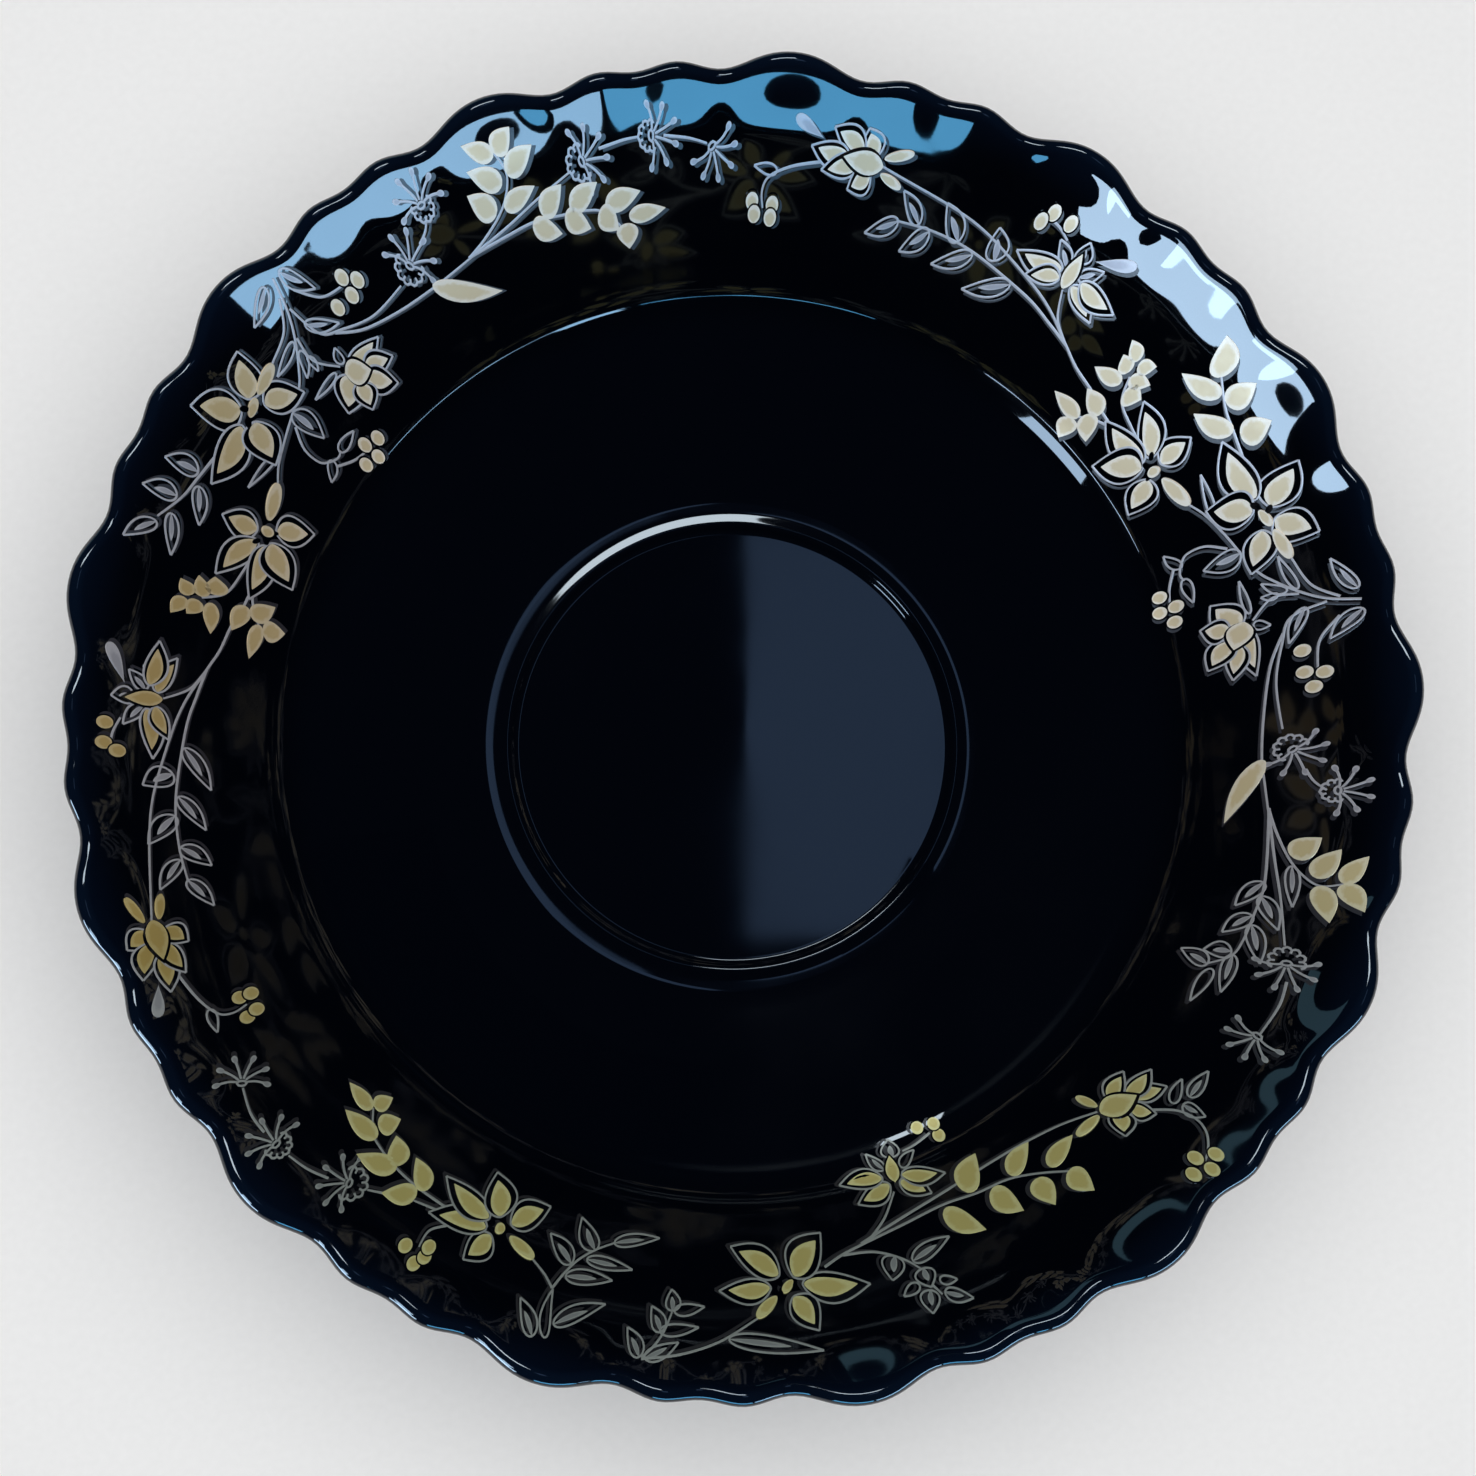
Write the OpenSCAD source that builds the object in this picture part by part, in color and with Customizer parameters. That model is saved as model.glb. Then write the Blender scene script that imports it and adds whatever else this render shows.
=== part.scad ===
// Dark glass salad bowl with a scalloped rim and four fired metal sprays.
// Millimetres. The bowl stands on z = 0, its centre on the Z axis.
// Every place on the wall is written [clock angle in degrees, plan radius].

/* [Bowl] */
// Mean radius of the scalloped rim, over the outside of the lip
rim_radius = 120; // [112:1:128]
// Wall thickness of the glass
wall = 3.5; // [3:0.1:4.5]
// Height of the well floor above the table
floor_height = 6; // [5:0.25:8]
// Rise of the inner wall from the well ring to the lip
wall_rise = 50; // [44:1:56]
// Plan radius where the wall leaves the well ring
ring_radius = 48; // [46:0.5:50]
// Width of the rounded well ring
ring_width = 5; // [4:0.25:6]
// Height of the ring crest over the straight line across it
ring_crest = 0.6; // [0.3:0.1:1]
// Steepness of the inner wall: low part, decorated part and flared rim
low_grade = 0.235; // [0.2:0.005:0.27]
wall_grade = 1.945; // [1.85:0.005:2]
rim_grade = 1.66; // [1.4:0.02:1.8]

/* [Foot] */
// Plan radius of the middle of the bearing ring
foot_radius = 47.5; // [45:0.5:50]
// Width of the flat bearing ring
foot_width = 2; // [1.5:0.25:3]
// Depth of the recess under the base
foot_recess = 1.6; // [1:0.1:2.4]

/* [Scalloped rim] */
// Groups of one large and two small lobes round the rim
lobe_groups = 13; // [9:1:16]
// Clock angle of the middle of the first large lobe
lobe_angle = 3; // [0:1:27]
// Depth of the lobes against the drawn depth
lobe_depth = 1; // [0.3:0.1:1.4]
// Plan width over which the lobes fade into the wall
lobe_fade = 7; // [6:1:14]

/* [Fired prints] */
// Height of the fired metal above the glass
film = 0.2; // [0.16:0.02:0.3]
// Width of the silver outlines
line = 0.6; // [0.5:0.05:0.8]
// Width of the silver stems
stem = 0.85; // [0.6:0.05:1.1]
// Dark gap between a silver outline and the gold inside it
gap = 0.6; // [0.4:0.05:0.8]
// Diameter of a gold berry
berry = 2.8; // [2.2:0.1:3.2]

/* [Hidden] */
glass = "#070d18";
gold = "#dccf9a";
silver = "#a9a9b6";
drawn_rim = 120;          // rim radius the sprays are laid out for
steps = 12;               // facets in one lobe group
turns = steps * lobe_groups;
sink = 0.06;              // depth of the prints in the glass
lip_run = 2.64;           // outer edge of the lip to the end of the inner wall
bend = [0.465, 0.155];     // where the wall turns up: start and length, as shares of its run
flare = [0.9, 0.1];     // where it leans out again below the lip
wall_end = rim_radius - lip_run;
ring_in = ring_radius - ring_width;

// ---- wall of the bowl -----------------------------------------------------

function share(r) = (r - ring_radius) / (wall_end - ring_radius);
function clip(x) = min(1, max(0, x));
function ease(x) = let (t = clip(x)) t*t*(3 - 2*t);
// height gained under that curve
function eased_run(x) = let (t = clip(x)) t*t*t - t*t*t*t/2 + max(0, x - 1);
function turned(u, turn) = (u - turn[0]) / turn[1];
function rise_at(u) = low_grade*u
    + (wall_grade - low_grade) * bend[1] * eased_run(turned(u, bend))
    - (wall_grade - rim_grade) * flare[1] * eased_run(turned(u, flare));
function grade_at(u) = low_grade + (wall_grade - low_grade) * ease(turned(u, bend))
    - (wall_grade - rim_grade) * ease(turned(u, flare));
function wall_z(r) = floor_height + 1 + wall_rise * rise_at(share(r));
function wall_tilt(r) =
    atan(wall_rise / (wall_end - ring_radius) * grade_at(share(r)));

// a point a given depth behind the inner wall, square to it
function behind(r, depth) =
    [r + depth * sin(wall_tilt(r)), wall_z(r) - depth * cos(wall_tilt(r))];

function fade(r) = ease((r - wall_end + lobe_fade) / lobe_fade);

lip = behind(wall_end, wall / 2);
lip_tilt = wall_tilt(wall_end);
// places of the profile stations along the wall, closer where it turns
inner_shares = [0.23, 0.46, 0.505, 0.545, 0.59, 0.66, 0.79, 0.9, 0.95, 1];
outer_shares = [1, 0.95, 0.89, 0.6, 0.48, 0.2];
function wall_r(u) = ring_radius + u * (wall_end - ring_radius);

// profile of the glass, from the middle of the well round to the underside;
// each station is [radius, height, share of the lobes]
profile = concat(
    [for (k = [0:4]) [ring_in + ring_width * k/4,
        floor_height + k/4 + ring_crest * sin(45 * k), 0]],
    [for (u = inner_shares) [wall_r(u), wall_z(wall_r(u)), fade(wall_r(u))]],
    [for (t = [45, 90, 135]) [lip[0] - wall/2 * sin(lip_tilt - t),
        lip[1] + wall/2 * cos(lip_tilt - t), 1]],
    [for (u = outer_shares) let (q = behind(wall_r(u), wall)) [q[0], q[1], fade(wall_r(u))]],
    [[foot_radius + foot_width + 1.1, wall * 0.55, 0],
     [foot_radius + foot_width/2 + 0.9, 0.4, 0],
     [foot_radius + foot_width/2, 0, 0],
     [foot_radius - foot_width/2, 0, 0],
     [foot_radius - foot_width/2 - 0.7, 0.4, 0],
     [foot_radius - foot_width/2 - 1.4, foot_recess, 0]]);

// outline of one lobe group, repeated round the rim
function lobe(a) = lobe_depth * (0.6*cos(lobe_groups*a) + 0.85*cos(2*lobe_groups*a)
    + 0.55*cos(3*lobe_groups*a) - 0.3*cos(4*lobe_groups*a));

module bowl() {
    rings = len(profile);
    shell = [for (p = profile, j = [0:turns-1])
        let (a = lobe_angle + 360*j/turns, r = p[0] + p[2] * lobe(a - lobe_angle))
        [r*cos(a), r*sin(a), p[1]]];
    ends = [[0, 0, floor_height], [0, 0, foot_recess]];
    last = (rings - 1) * turns;
    sides = [for (i = [0:rings-2], j = [0:turns-1])
        let (k = (j + 1) % turns, p = i*turns + j, q = i*turns + k)
        each [[p, q, q + turns], [p, q + turns, p + turns]]];
    caps = [for (j = [0:turns-1]) let (k = (j + 1) % turns)
        each [[rings*turns, k, j], [rings*turns + 1, last + j, last + k]]];
    color(glass) polyhedron(concat(shell, ends), concat(sides, caps));
}

// ---- films of fired metal on the wall -----------------------------------------

// The places were read off in a view from the lower left of the centre. Low places lie
// a little further out and further round than they look from there.
function below(p) = max(0, 111 - p[1]);
function settle(p) = [p[0] + 0.025 * below(p) * sin(62 - p[0]),
    p[1] + 0.052 * below(p) * (1 + 0.7 * cos(p[0] - 62))];

// plan position of a place given as [clock angle, radius]
function plan(p) = let (q = settle(p)) q[1] * rim_radius / drawn_rim * [cos(q[0]), sin(q[0])];

// plan position lifted onto the wall and its lobes, raised square to it
function lift(p, up) = let (r = norm(p), out = lobe(atan2(p[1], p[0]) - lobe_angle),
    r0 = r - out * fade(r - out * fade(r)), t = wall_tilt(r0))
    concat(p * (1 - up * sin(t) / r), wall_z(r0) + up * cos(t));

function unit(v) = v / norm(v);
function left_of(v) = [-v[1], v[0]];

// film between two plan lines
module band(lefts, rights) {
    n = len(lefts);
    points = [for (k = [0:n-1]) each [lift(lefts[k], -sink), lift(rights[k], -sink),
        lift(rights[k], film), lift(lefts[k], film)]];
    faces = [for (k = [0:n-2]) let (a = 4*k, b = 4*k + 4) each
        [[a+3, b+3, b+2], [a+3, b+2, a+2], [a, a+1, b+1], [a, b+1, b],
         [a, b, b+3], [a, b+3, a+3], [b+1, a+1, a+2], [b+1, a+2, b+2]]];
    e = 4*n - 4;
    caps = [[1, 0, 3], [1, 3, 2], [e, e+1, e+2], [e, e+2, e+3]];
    polyhedron(points, concat(faces, caps));
}

// stem through a row of places, narrowing towards its end
module stem_line(places, width = stem) {
    p = [for (q = places) plan(q)];
    n = len(p);
    way = [for (k = [0:n-1]) left_of(unit(p[min(k+1, n-1)] - p[max(k-1, 0)]))];
    half = [for (k = [0:n-1]) width * (0.5 - 0.15 * k / (n - 1))];
    band([for (k = [0:n-1]) p[k] + half[k]*way[k]], [for (k = [0:n-1]) p[k] - half[k]*way[k]]);
}

// thin plate inside a convex plan outline that runs counter-clockwise
module plate(outline, low, high) {
    n = len(outline);
    points = concat([for (p = outline) lift(p, low)], [for (p = outline) lift(p, high)]);
    faces = concat([for (k = [1:n-2]) each [[0, k, k+1], [n, n+k+1, n+k]]],
        [for (k = [0:n-1]) let (j = (k + 1) % n) each [[k, n+k, n+j], [k, n+j, j]]]);
    polyhedron(points, faces);
}

// thin frame between two plan outlines that run counter-clockwise
module border(outer, inner, low, high) {
    n = len(outer);
    points = [for (z = [low, high]) each
        concat([for (p = outer) lift(p, z)], [for (p = inner) lift(p, z)])];
    faces = [for (k = [0:n-1]) let (j = (k + 1) % n) each
        [[2*n+k, 3*n+k, 3*n+j], [2*n+k, 3*n+j, 2*n+j], [k, j, n+j], [k, n+j, n+k],
         [k, 2*n+k, 2*n+j], [k, 2*n+j, j], [n+k, n+j, 3*n+j], [n+k, 3*n+j, 3*n+k]]];
    polyhedron(points, faces);
}

// outline of a leaf, six corners from its base round its tip, drawn in by a margin
function leaf_outline(q, margin = 0) =
    let (a = plan([q[0], q[1]]), b = plan([q[2], q[3]]), way = unit(b - a),
        side = left_of(way) * (q[4]/2 - margin), foot = a + way * margin * 0.5,
        run = b - way * margin * 1.8 - foot)
    [foot, foot + run*0.3 - side*0.85, foot + run*0.7 - side*0.8, foot + run,
        foot + run*0.7 + side*0.8, foot + run*0.3 + side*0.85];

// six-sided dot at a place
function dot_outline(q, d) = let (c = plan(q), s = unit(c) * d/2)
    [for (k = [0:5]) c + s*cos(60*k) + left_of(s)*sin(60*k)];

// seed head: an eye and a fan of threads; heading 0 is clockwise, 90 outward
module seed_head(q) {
    c = plan([q[0], q[1]]);
    out = unit(c);
    back = -left_of(out);
    plate(dot_outline([q[0], q[1]], q[3]), -sink, film);
    for (k = [0:5]) {
        h = q[2] + 26 * (k - 2.5);
        way = back*cos(h) + out*sin(h);
        side = left_of(way);
        reach = [[q[3]*0.5 + 0.2, 0.3], [4.8 + q[3]*0.3, 0.45]];
        band([for (s = reach) c + way*s[0] + side*s[1]],
            [for (s = reach) c + way*s[0] - side*s[1]]);
    }
}

// silver grounds of the petals, outlined and solid leaves, stems and seed heads
module silver_print(petals, leaves, stems, heads, solids = []) {
    color(silver) {
        for (q = petals) plate(leaf_outline(q), -sink, film/2);
        for (q = leaves) border(leaf_outline(q), leaf_outline(q, line), -sink, film);
        for (q = solids) plate(leaf_outline(q), -sink, film);
        for (s = stems) stem_line(s);
        for (q = heads) seed_head(q);
    }
}

// gold hearts on the silver petals, gold leaves and berries
module gold_print(petals, leaves, berries) {
    color(gold) {
        for (q = petals) plate(leaf_outline(q, line + gap/2), film/2, film);
        for (q = leaves) plate(leaf_outline(q), -sink, film);
        for (q = berries) plate(dot_outline(q, berry), -sink, film);
    }
}

// ---- large spray, laid out on the right of the bowl -----------------------------

large_petals = [
    [22.7, 106.2, 25.3, 112.1, 6.2], [21.5, 106.2, 18.8, 111.1, 5.6],
    [24, 104.8, 30.4, 104.4, 4.8], [22.9, 103.6, 25.2, 97.8, 6.2],
    [20.9, 103.9, 17.3, 100.4, 4.8],
    [32.7, 95, 33.1, 100.5, 5.2], [33.8, 94.4, 39, 98.2, 4.2],
    [34, 93, 40.2, 92.3, 4.2], [33.4, 92.3, 37.2, 86.6, 5.8], [32, 92.2, 29.9, 87, 5.2],
    [55.2, 104.8, 59.9, 103.7, 3.4], [54.9, 103.6, 58, 101.4, 3],
    [53.5, 103.6, 49.8, 101.2, 3], [52.9, 104.8, 48.5, 104.2, 3.4],
    [12.2, 96.8, 15, 93, 5], [11.4, 97.5, 6.5, 97.5, 3.2], [10.2, 95.4, 6.4, 94, 3.6],
    [10.6, 94.8, 8, 90.6, 4.4], [11.8, 94.8, 12.7, 90.6, 4.4],
    [77, 108.6, 78.2, 112, 4.4], [78.2, 108.8, 81.3, 111.4, 3.8],
    [79.6, 107.8, 83.2, 108.5, 3.6], [78.6, 106.6, 81.9, 105.4, 3.4],
    [77.2, 106.2, 79, 103.4, 4]];
large_gold = [
    [20.5, 105.5, 17.1, 106.4, 1.9], [22.9, 104.6, 20.9, 105.4, 1.4],
    [31.2, 94.1, 26.9, 95.6, 2.2], [33, 93.6, 31.8, 93.4, 2],
    [54.1, 102.6, 54.4, 108.4, 2.8], [12.3, 97.2, 9.5, 94.8, 4.2],
    [76.1, 107.5, 80.2, 107.8, 3.4], [76.2, 108.7, 73.5, 110.5, 1.5],
    [76.2, 106.4, 73.8, 105.2, 1.4],
    [43, 101.8, 45, 103.4, 2.1], [42.6, 101.2, 41.2, 103.3, 2.3],
    [42.9, 99.4, 44.6, 101, 2.3], [42.3, 99.2, 40.2, 100.8, 2.3],
    [42.6, 97.8, 46, 96.7, 2.2], [41.6, 97.2, 39.7, 98.4, 3.2],
    [41.6, 92.3, 44.9, 93.6, 2.6], [43.2, 89.5, 47.6, 89.9, 2.1],
    [42.8, 90.8, 40.4, 87.8, 3], [44, 88.6, 43.2, 85, 3.4],
    [-3.5, 97.8, -8, 96.4, 2.4], [-6.4, 97.2, -10.4, 93.6, 2.2],
    [-13.4, 104, -11.1, 107.8, 3.6], [-15.1, 107.9, -12, 110.9, 3.2],
    [-15.8, 108.8, -19.1, 111.7, 3.2], [-15.2, 112, -12.4, 114.8, 2.8],
    [-15.3, 112, -17.5, 115.9, 3.2]];
large_berries = [[5.3, 107.6], [4, 105.8], [5.6, 104.7], [7.8, 104.8],
    [57, 110.9], [58.9, 111], [59.6, 109], [16.6, 87.7], [14.8, 86.8], [16.5, 84.8],
    [18.4, 85.6], [89, 99.9], [86.8, 99.5], [88.7, 98], [86.9, 97.6]];
large_outlines = [
    [54.2, 106.8, 54.4, 110.2, 3.4], [54.9, 105.2, 57, 108.2, 2.6],
    [53.4, 105.2, 51.6, 108, 2.6], [12.4, 114.2, 15.8, 111.6, 2.4],
    [10.4, 114.2, 8.4, 109, 3], [14, 106, 17.8, 104.6, 1.6], [12, 106.4, 8.8, 103, 2.4],
    [14.1, 104.4, 15.7, 101, 1.8], [14, 103, 14.3, 100.4, 1.6], [11.8, 98.4, 11.2, 100.9, 2],
    [13, 98.2, 16.8, 98, 1.4], [24, 98, 29.2, 99.2, 1.5], [19.6, 99.6, 19.4, 93.4, 4],
    [19.4, 90.2, 16.3, 90.4, 2], [20.8, 90.4, 23, 88.5, 2],
    [61.8, 100.6, 62.9, 105.3, 4.2], [66.2, 100.8, 68.8, 105.4, 3.6],
    [70.8, 101, 73.4, 105, 2.8], [59, 98.8, 63.6, 94.7, 3], [64.2, 100, 68, 96.2, 2.8],
    [69.5, 100.6, 71.9, 96.3, 3.2], [73, 100.5, 76.2, 97.5, 2.8],
    [86.6, 104.3, 89, 105, 1.9]];
large_solids = [[53, 108.4, 49.4, 111.4, 2], [82.4, 109.8, 85.3, 112.4, 2]];
large_stems = [
    [[12.1, 111.6], [14, 108], [17.1, 106.4]],
    [[11.3, 114.3], [12.2, 110], [13.5, 106.5], [15.5, 103], [17.4, 100.8],
        [22, 98.5], [25, 97], [27, 95.5]],
    [[12, 109.6], [11.4, 104], [9, 102], [5, 100.3], [0, 100.8]],
    [[10.4, 111], [8.5, 107.5], [5.6, 106.6]],
    [[13.5, 106], [13.9, 102], [12.2, 98.4]],
    [[10, 102.4], [7, 99.8], [2, 98.1], [-3, 97.7], [-6, 98.4], [-10, 99.8]],
    [[20.6, 98], [21.9, 95], [22, 92], [21.2, 90.6], [20, 89.8], [19.2, 90.2]],
    [[21, 89.2], [19, 87.5], [16.4, 86.6]],
    [[28, 105.7], [31, 106.5], [33.5, 107.4], [36.3, 109.6]],
    [[42.4, 99.4], [41, 96], [38, 94.6], [36, 94.2]],
    [[39.6, 92.3], [42, 92.8], [44.5, 93.8], [47.5, 94.7], [50, 96.2], [54, 99], [58, 101],
        [64, 103.8], [69, 105.3], [76.2, 107.5]],
    [[40, 92], [42, 90.8], [43.8, 89]],
    [[50, 96.2], [53, 97.2], [57, 98.6], [64, 100.3], [69, 100.8], [73.2, 100.5]],
    [[50.5, 96.5], [52.6, 98.6], [54, 102.4]],
    [[59.2, 110], [57.8, 109.6], [56.4, 108.6]],
    [[81.8, 106.6], [85, 105.3], [87.3, 103.6], [88, 101.4], [87.8, 98.8]],
    [[-8.5, 99.3], [-11, 101], [-13.5, 103.5], [-15, 106], [-15.8, 109], [-15.2, 112.4]],
    [[-9, 99.5], [-14, 101.6], [-18, 104], [-22.3, 106.7]],
    [[-8.5, 99.4], [-13, 100.2], [-17, 101], [-20, 100.8], [-23, 100.6], [-25, 99.8],
        [-26.6, 97]],
    [[-4.3, 104.3], [-5.5, 105.6], [-6.4, 107.6]]];
large_heads = [[-2.2, 102.3, 40, 3.6], [-6.4, 109.2, 95, 3]];

right_gold_leaves = [
    [30.4, 107.1, 30, 112, 4.4], [33.9, 107.9, 33.7, 113, 4.2], [36.2, 109.4, 38.9, 113.6, 3.8],
    [34.7, 107.8, 39, 105.4, 2.6], [31, 106.2, 35, 103.2, 2.8]];
right_outlines = [
    [-14.3, 104.3, -18.4, 105.9, 2.4], [-18, 101, -21, 105, 3], [-21.2, 101, -24.8, 104.3, 3],
    [-24.8, 100, -29, 100.8, 2.6], [-27, 98, -31.2, 97.3, 2.2], [-26.7, 97, -26, 92.2, 3.2],
    [-24.5, 99.6, -25.3, 95.5, 3.4], [-20.2, 100.6, -22.8, 97.1, 3],
    [-16.5, 100.8, -19.6, 97.6, 3]];
right_stems = [[[-25.6, 109], [-28, 109.5], [-31.2, 109]]];
right_heads = [[-23.9, 107.9, 15, 3.8], [-31.5, 108.8, -20, 1.6]];

// ---- the same spray carried round to the left, a little further out ---------------

shift_table = [[-25, 130], [-15, 129.4], [-2, 128.4], [5, 127.2], [11.5, 126.2],
    [33, 125.2], [54, 124], [77.5, 123], [88, 122]];
out_table = [[-25, 0.5], [-15, 1.2], [-2, 2.6], [5, 2], [22, 1.6], [33, 2], [54, 2.8],
    [77.5, 4], [88, 4.2]];
function carry(a, r) = [a + lookup(a, shift_table), min(r + lookup(a, out_table), 116.5)];
function carry_leaf(q) = concat(carry(q[0], q[1]), carry(q[2], q[3]), q[4]);
function carry_head(q) = concat(carry(q[0], q[1]), q[2], q[3]);

left_outlines = [
    [155.8, 108.8, 156.2, 114, 3.8], [158.8, 110.2, 159.3, 115.4, 3.6],
    [161.8, 111.6, 164.2, 115.4, 2.8], [160.5, 110, 164.2, 108, 2.4],
    [157, 107.8, 160.4, 105.5, 2.6]];
left_gold_leaves = [
    [115, 105.4, 111.4, 107, 2.6], [111.5, 102.4, 108.8, 106, 3.2],
    [108.5, 102, 105.2, 104.9, 3], [104.8, 101.2, 100.9, 102.4, 2.8],
    [102.5, 98.9, 98.4, 99.4, 2.2], [102.7, 98, 103, 94.2, 3.6], [105.4, 101, 103.8, 97.3, 3.4],
    [109.2, 101.6, 106.8, 98.5, 3.2], [112.8, 101.8, 110, 99, 3]];
left_stems = [[[104.4, 109.5], [102, 110], [100.4, 110.1]],
    [[98, 109.8], [95.6, 109.1], [93.8, 108.2]]];
left_heads = [[106.3, 108.3, 15, 3.6], [99.2, 110, 0, 3], [93.3, 107.8, -55, 1.6]];

// ---- spray at the lower left --------------------------------------------------------

lower_left_petals = [
    [243.9, 102.8, 242.6, 107.9, 4.8], [243.2, 102.1, 237.8, 104.4, 4.4],
    [243, 100.6, 237.3, 98.2, 4.4], [243.9, 99.6, 241.6, 93.5, 5.6],
    [245.2, 99.9, 248.2, 94.9, 5]];
lower_left_gold_leaves = [
    [245.6, 101.8, 248.7, 103.5, 2], [244.9, 101.4, 243.9, 101.1, 1.8],
    [235.4, 103, 232.6, 106.4, 3.2], [232.3, 101.9, 228.3, 104.2, 3.2],
    [236, 101.9, 233.1, 98.4, 3], [232.2, 101.4, 230, 97.6, 3.4],
    [228.7, 100.2, 224.3, 100.3, 2.8], [227.9, 98.4, 229.2, 95, 3.4],
    [226.2, 97.2, 222.4, 96.7, 2.2], [226, 96.4, 226.9, 93.2, 2.8]];
lower_left_berries = [[238.8, 112.6], [237.3, 111], [239.3, 110.9], [239.2, 109.3]];
lower_left_outlines = [
    [252.4, 112.2, 256.6, 107, 3], [250.9, 115, 248.8, 110, 3], [252, 114.6, 251.4, 107, 2.2],
    [252.2, 104.4, 256.8, 103.1, 2.8], [253.8, 100.8, 258.6, 100.7, 2.4],
    [256.2, 97, 261, 94.7, 2.4], [252.4, 102.2, 249.4, 98.6, 3.4],
    [254.4, 99, 252.1, 94.3, 3.6]];
lower_left_stems = [
    [[251.3, 106.9], [250.2, 105.2], [248.6, 103.6]],
    [[251.3, 106.9], [252, 104], [253, 101.2], [254.5, 98.8], [256.2, 97]],
    [[239.6, 102.5], [235, 102.2], [232, 101.7], [229.5, 100.8], [228, 99.8], [226.2, 96.8]],
    [[238.8, 103.3], [235.3, 104.4]],
    [[239.6, 104.8], [238.4, 107], [238.4, 110]],
    [[232.8, 106.2], [231.4, 107.4]],
    [[228, 110], [226, 111.2], [224, 111.8]],
    [[221, 112.2], [219, 112], [216.6, 110.6]]];
lower_left_heads = [[229.7, 108.4, 25, 4], [222.5, 112, 10, 3.2], [216.2, 110.3, -35, 1.6]];

// ---- spray at the lower right ---------------------------------------------------------

lower_right_petals = [
    [274.9, 103.7, 276.7, 109, 5.2], [276, 101.9, 282.2, 103.5, 4.8],
    [275.2, 100.6, 278.7, 94.4, 6], [273.8, 100.2, 269.2, 95.5, 5],
    [272.8, 102.1, 267.9, 102.5, 4],
    [288.5, 88.8, 284.4, 90.4, 3.6], [288, 87.4, 283, 86.6, 3.6],
    [289.7, 89, 292.3, 92.5, 3.8], [290.2, 88, 294.7, 90.4, 3.4],
    [314.4, 98.8, 313, 102.2, 4.2], [315.4, 99.8, 316.6, 103.2, 3.4],
    [316.6, 99.6, 319.4, 101.8, 3.2], [316.2, 98.2, 319.9, 98.4, 3.2],
    [314.6, 97, 318, 95.4, 3.4]];
lower_right_gold_leaves = [
    [273.3, 103.6, 271.1, 106.7, 1.9], [275.1, 101.2, 273.9, 102.9, 1.4],
    [289.2, 88.8, 289.8, 84, 2.6], [313, 97.2, 317, 99.4, 4],
    [312.7, 97.3, 309.4, 97.3, 1.6], [313.4, 96, 312.5, 92.6, 1.7],
    [292.6, 96.3, 295.7, 101.8, 3.6], [298.3, 96.6, 300, 102, 4], [303.2, 98.8, 302.9, 103.9, 3.8],
    [306.3, 100.7, 306.8, 105.6, 3.8], [304.9, 98.3, 309.2, 96.7, 2.4],
    [301, 96, 305, 93.2, 2.8], [295.8, 94.8, 299.3, 90, 3.8]];
lower_right_berries = [[317, 114], [315.7, 115], [314.3, 113.6], [315.6, 112.2],
    [296.7, 84.2], [296.8, 81.8], [294.6, 81.1]];
lower_right_outlines = [
    [260.4, 114, 259, 109.8, 3], [260.9, 114, 263.8, 111, 2.6], [262, 109.6, 265.6, 108.4, 2.2],
    [262.1, 109.7, 261, 105.9, 3], [263.2, 106.2, 266.1, 105.1, 2.2],
    [263, 106.2, 262.8, 102.8, 3], [268.4, 110, 276.9, 112.5, 3],
    [289.2, 108.2, 291.4, 110.6, 2.6], [289.2, 106.2, 290.8, 107, 1.8],
    [287.2, 105.8, 285.4, 106.9, 2], [287.5, 102, 292, 100.3, 2.8],
    [290.2, 84.4, 290.4, 81, 3.8], [288.6, 86, 287, 82.2, 2.4], [290.6, 86.6, 293, 84.6, 2.2],
    [319, 105.6, 319.3, 109.3, 2.8], [320, 105.6, 323.2, 105.5, 2.4],
    [318.5, 104.2, 321.1, 103, 2],
    [286, 100.4, 284.9, 104, 4.2], [288.2, 103.6, 288.2, 106.8, 4], [288, 107.2, 287.4, 110.7, 3.6]];
lower_right_stems = [
    [[260.6, 114.2], [264, 112.8], [267.6, 110.4], [271.2, 106.8]],
    [[260.6, 114], [261.6, 112], [262.4, 109.5], [263, 106.4]],
    [[278.6, 99.6], [280.6, 98.2], [283, 97.2], [288, 95.9], [293, 95.2], [297, 95.9],
        [300.5, 96.4], [303.5, 98.2], [306.2, 100.8]],
    [[280.8, 98.2], [284, 98.8], [286.5, 101], [288, 103.6]],
    [[288.4, 106.6], [288.9, 108.4]],
    [[283, 97], [289, 94.5], [294, 93.3], [300, 92.6], [304.5, 92.9], [309, 94.2], [312.9, 96.6]],
    [[284.3, 96.4], [286.5, 93.8], [288.6, 90.2]],
    [[295.8, 83], [293.4, 83.8], [291.6, 84]],
    [[316.8, 102.6], [318.2, 105.5], [318.6, 108.5], [318.1, 111], [316.8, 112.8],
        [315.6, 113.6]]];

// ---- the printed nodes -------------------------------------------------------------------

module right_silver() silver_print(large_petals, concat(large_outlines, right_outlines),
    concat(large_stems, right_stems), concat(large_heads, right_heads), large_solids);

module right_gold() gold_print(
    large_petals, concat(large_gold, right_gold_leaves), large_berries);

module left_silver() silver_print([for (q = large_petals) carry_leaf(q)],
    concat([for (q = large_outlines) carry_leaf(q)], left_outlines),
    concat([for (s = large_stems) [for (p = s) carry(p[0], p[1])]], left_stems),
    concat([for (q = large_heads) carry_head(q)], left_heads),
    [for (q = large_solids) carry_leaf(q)]);

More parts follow.
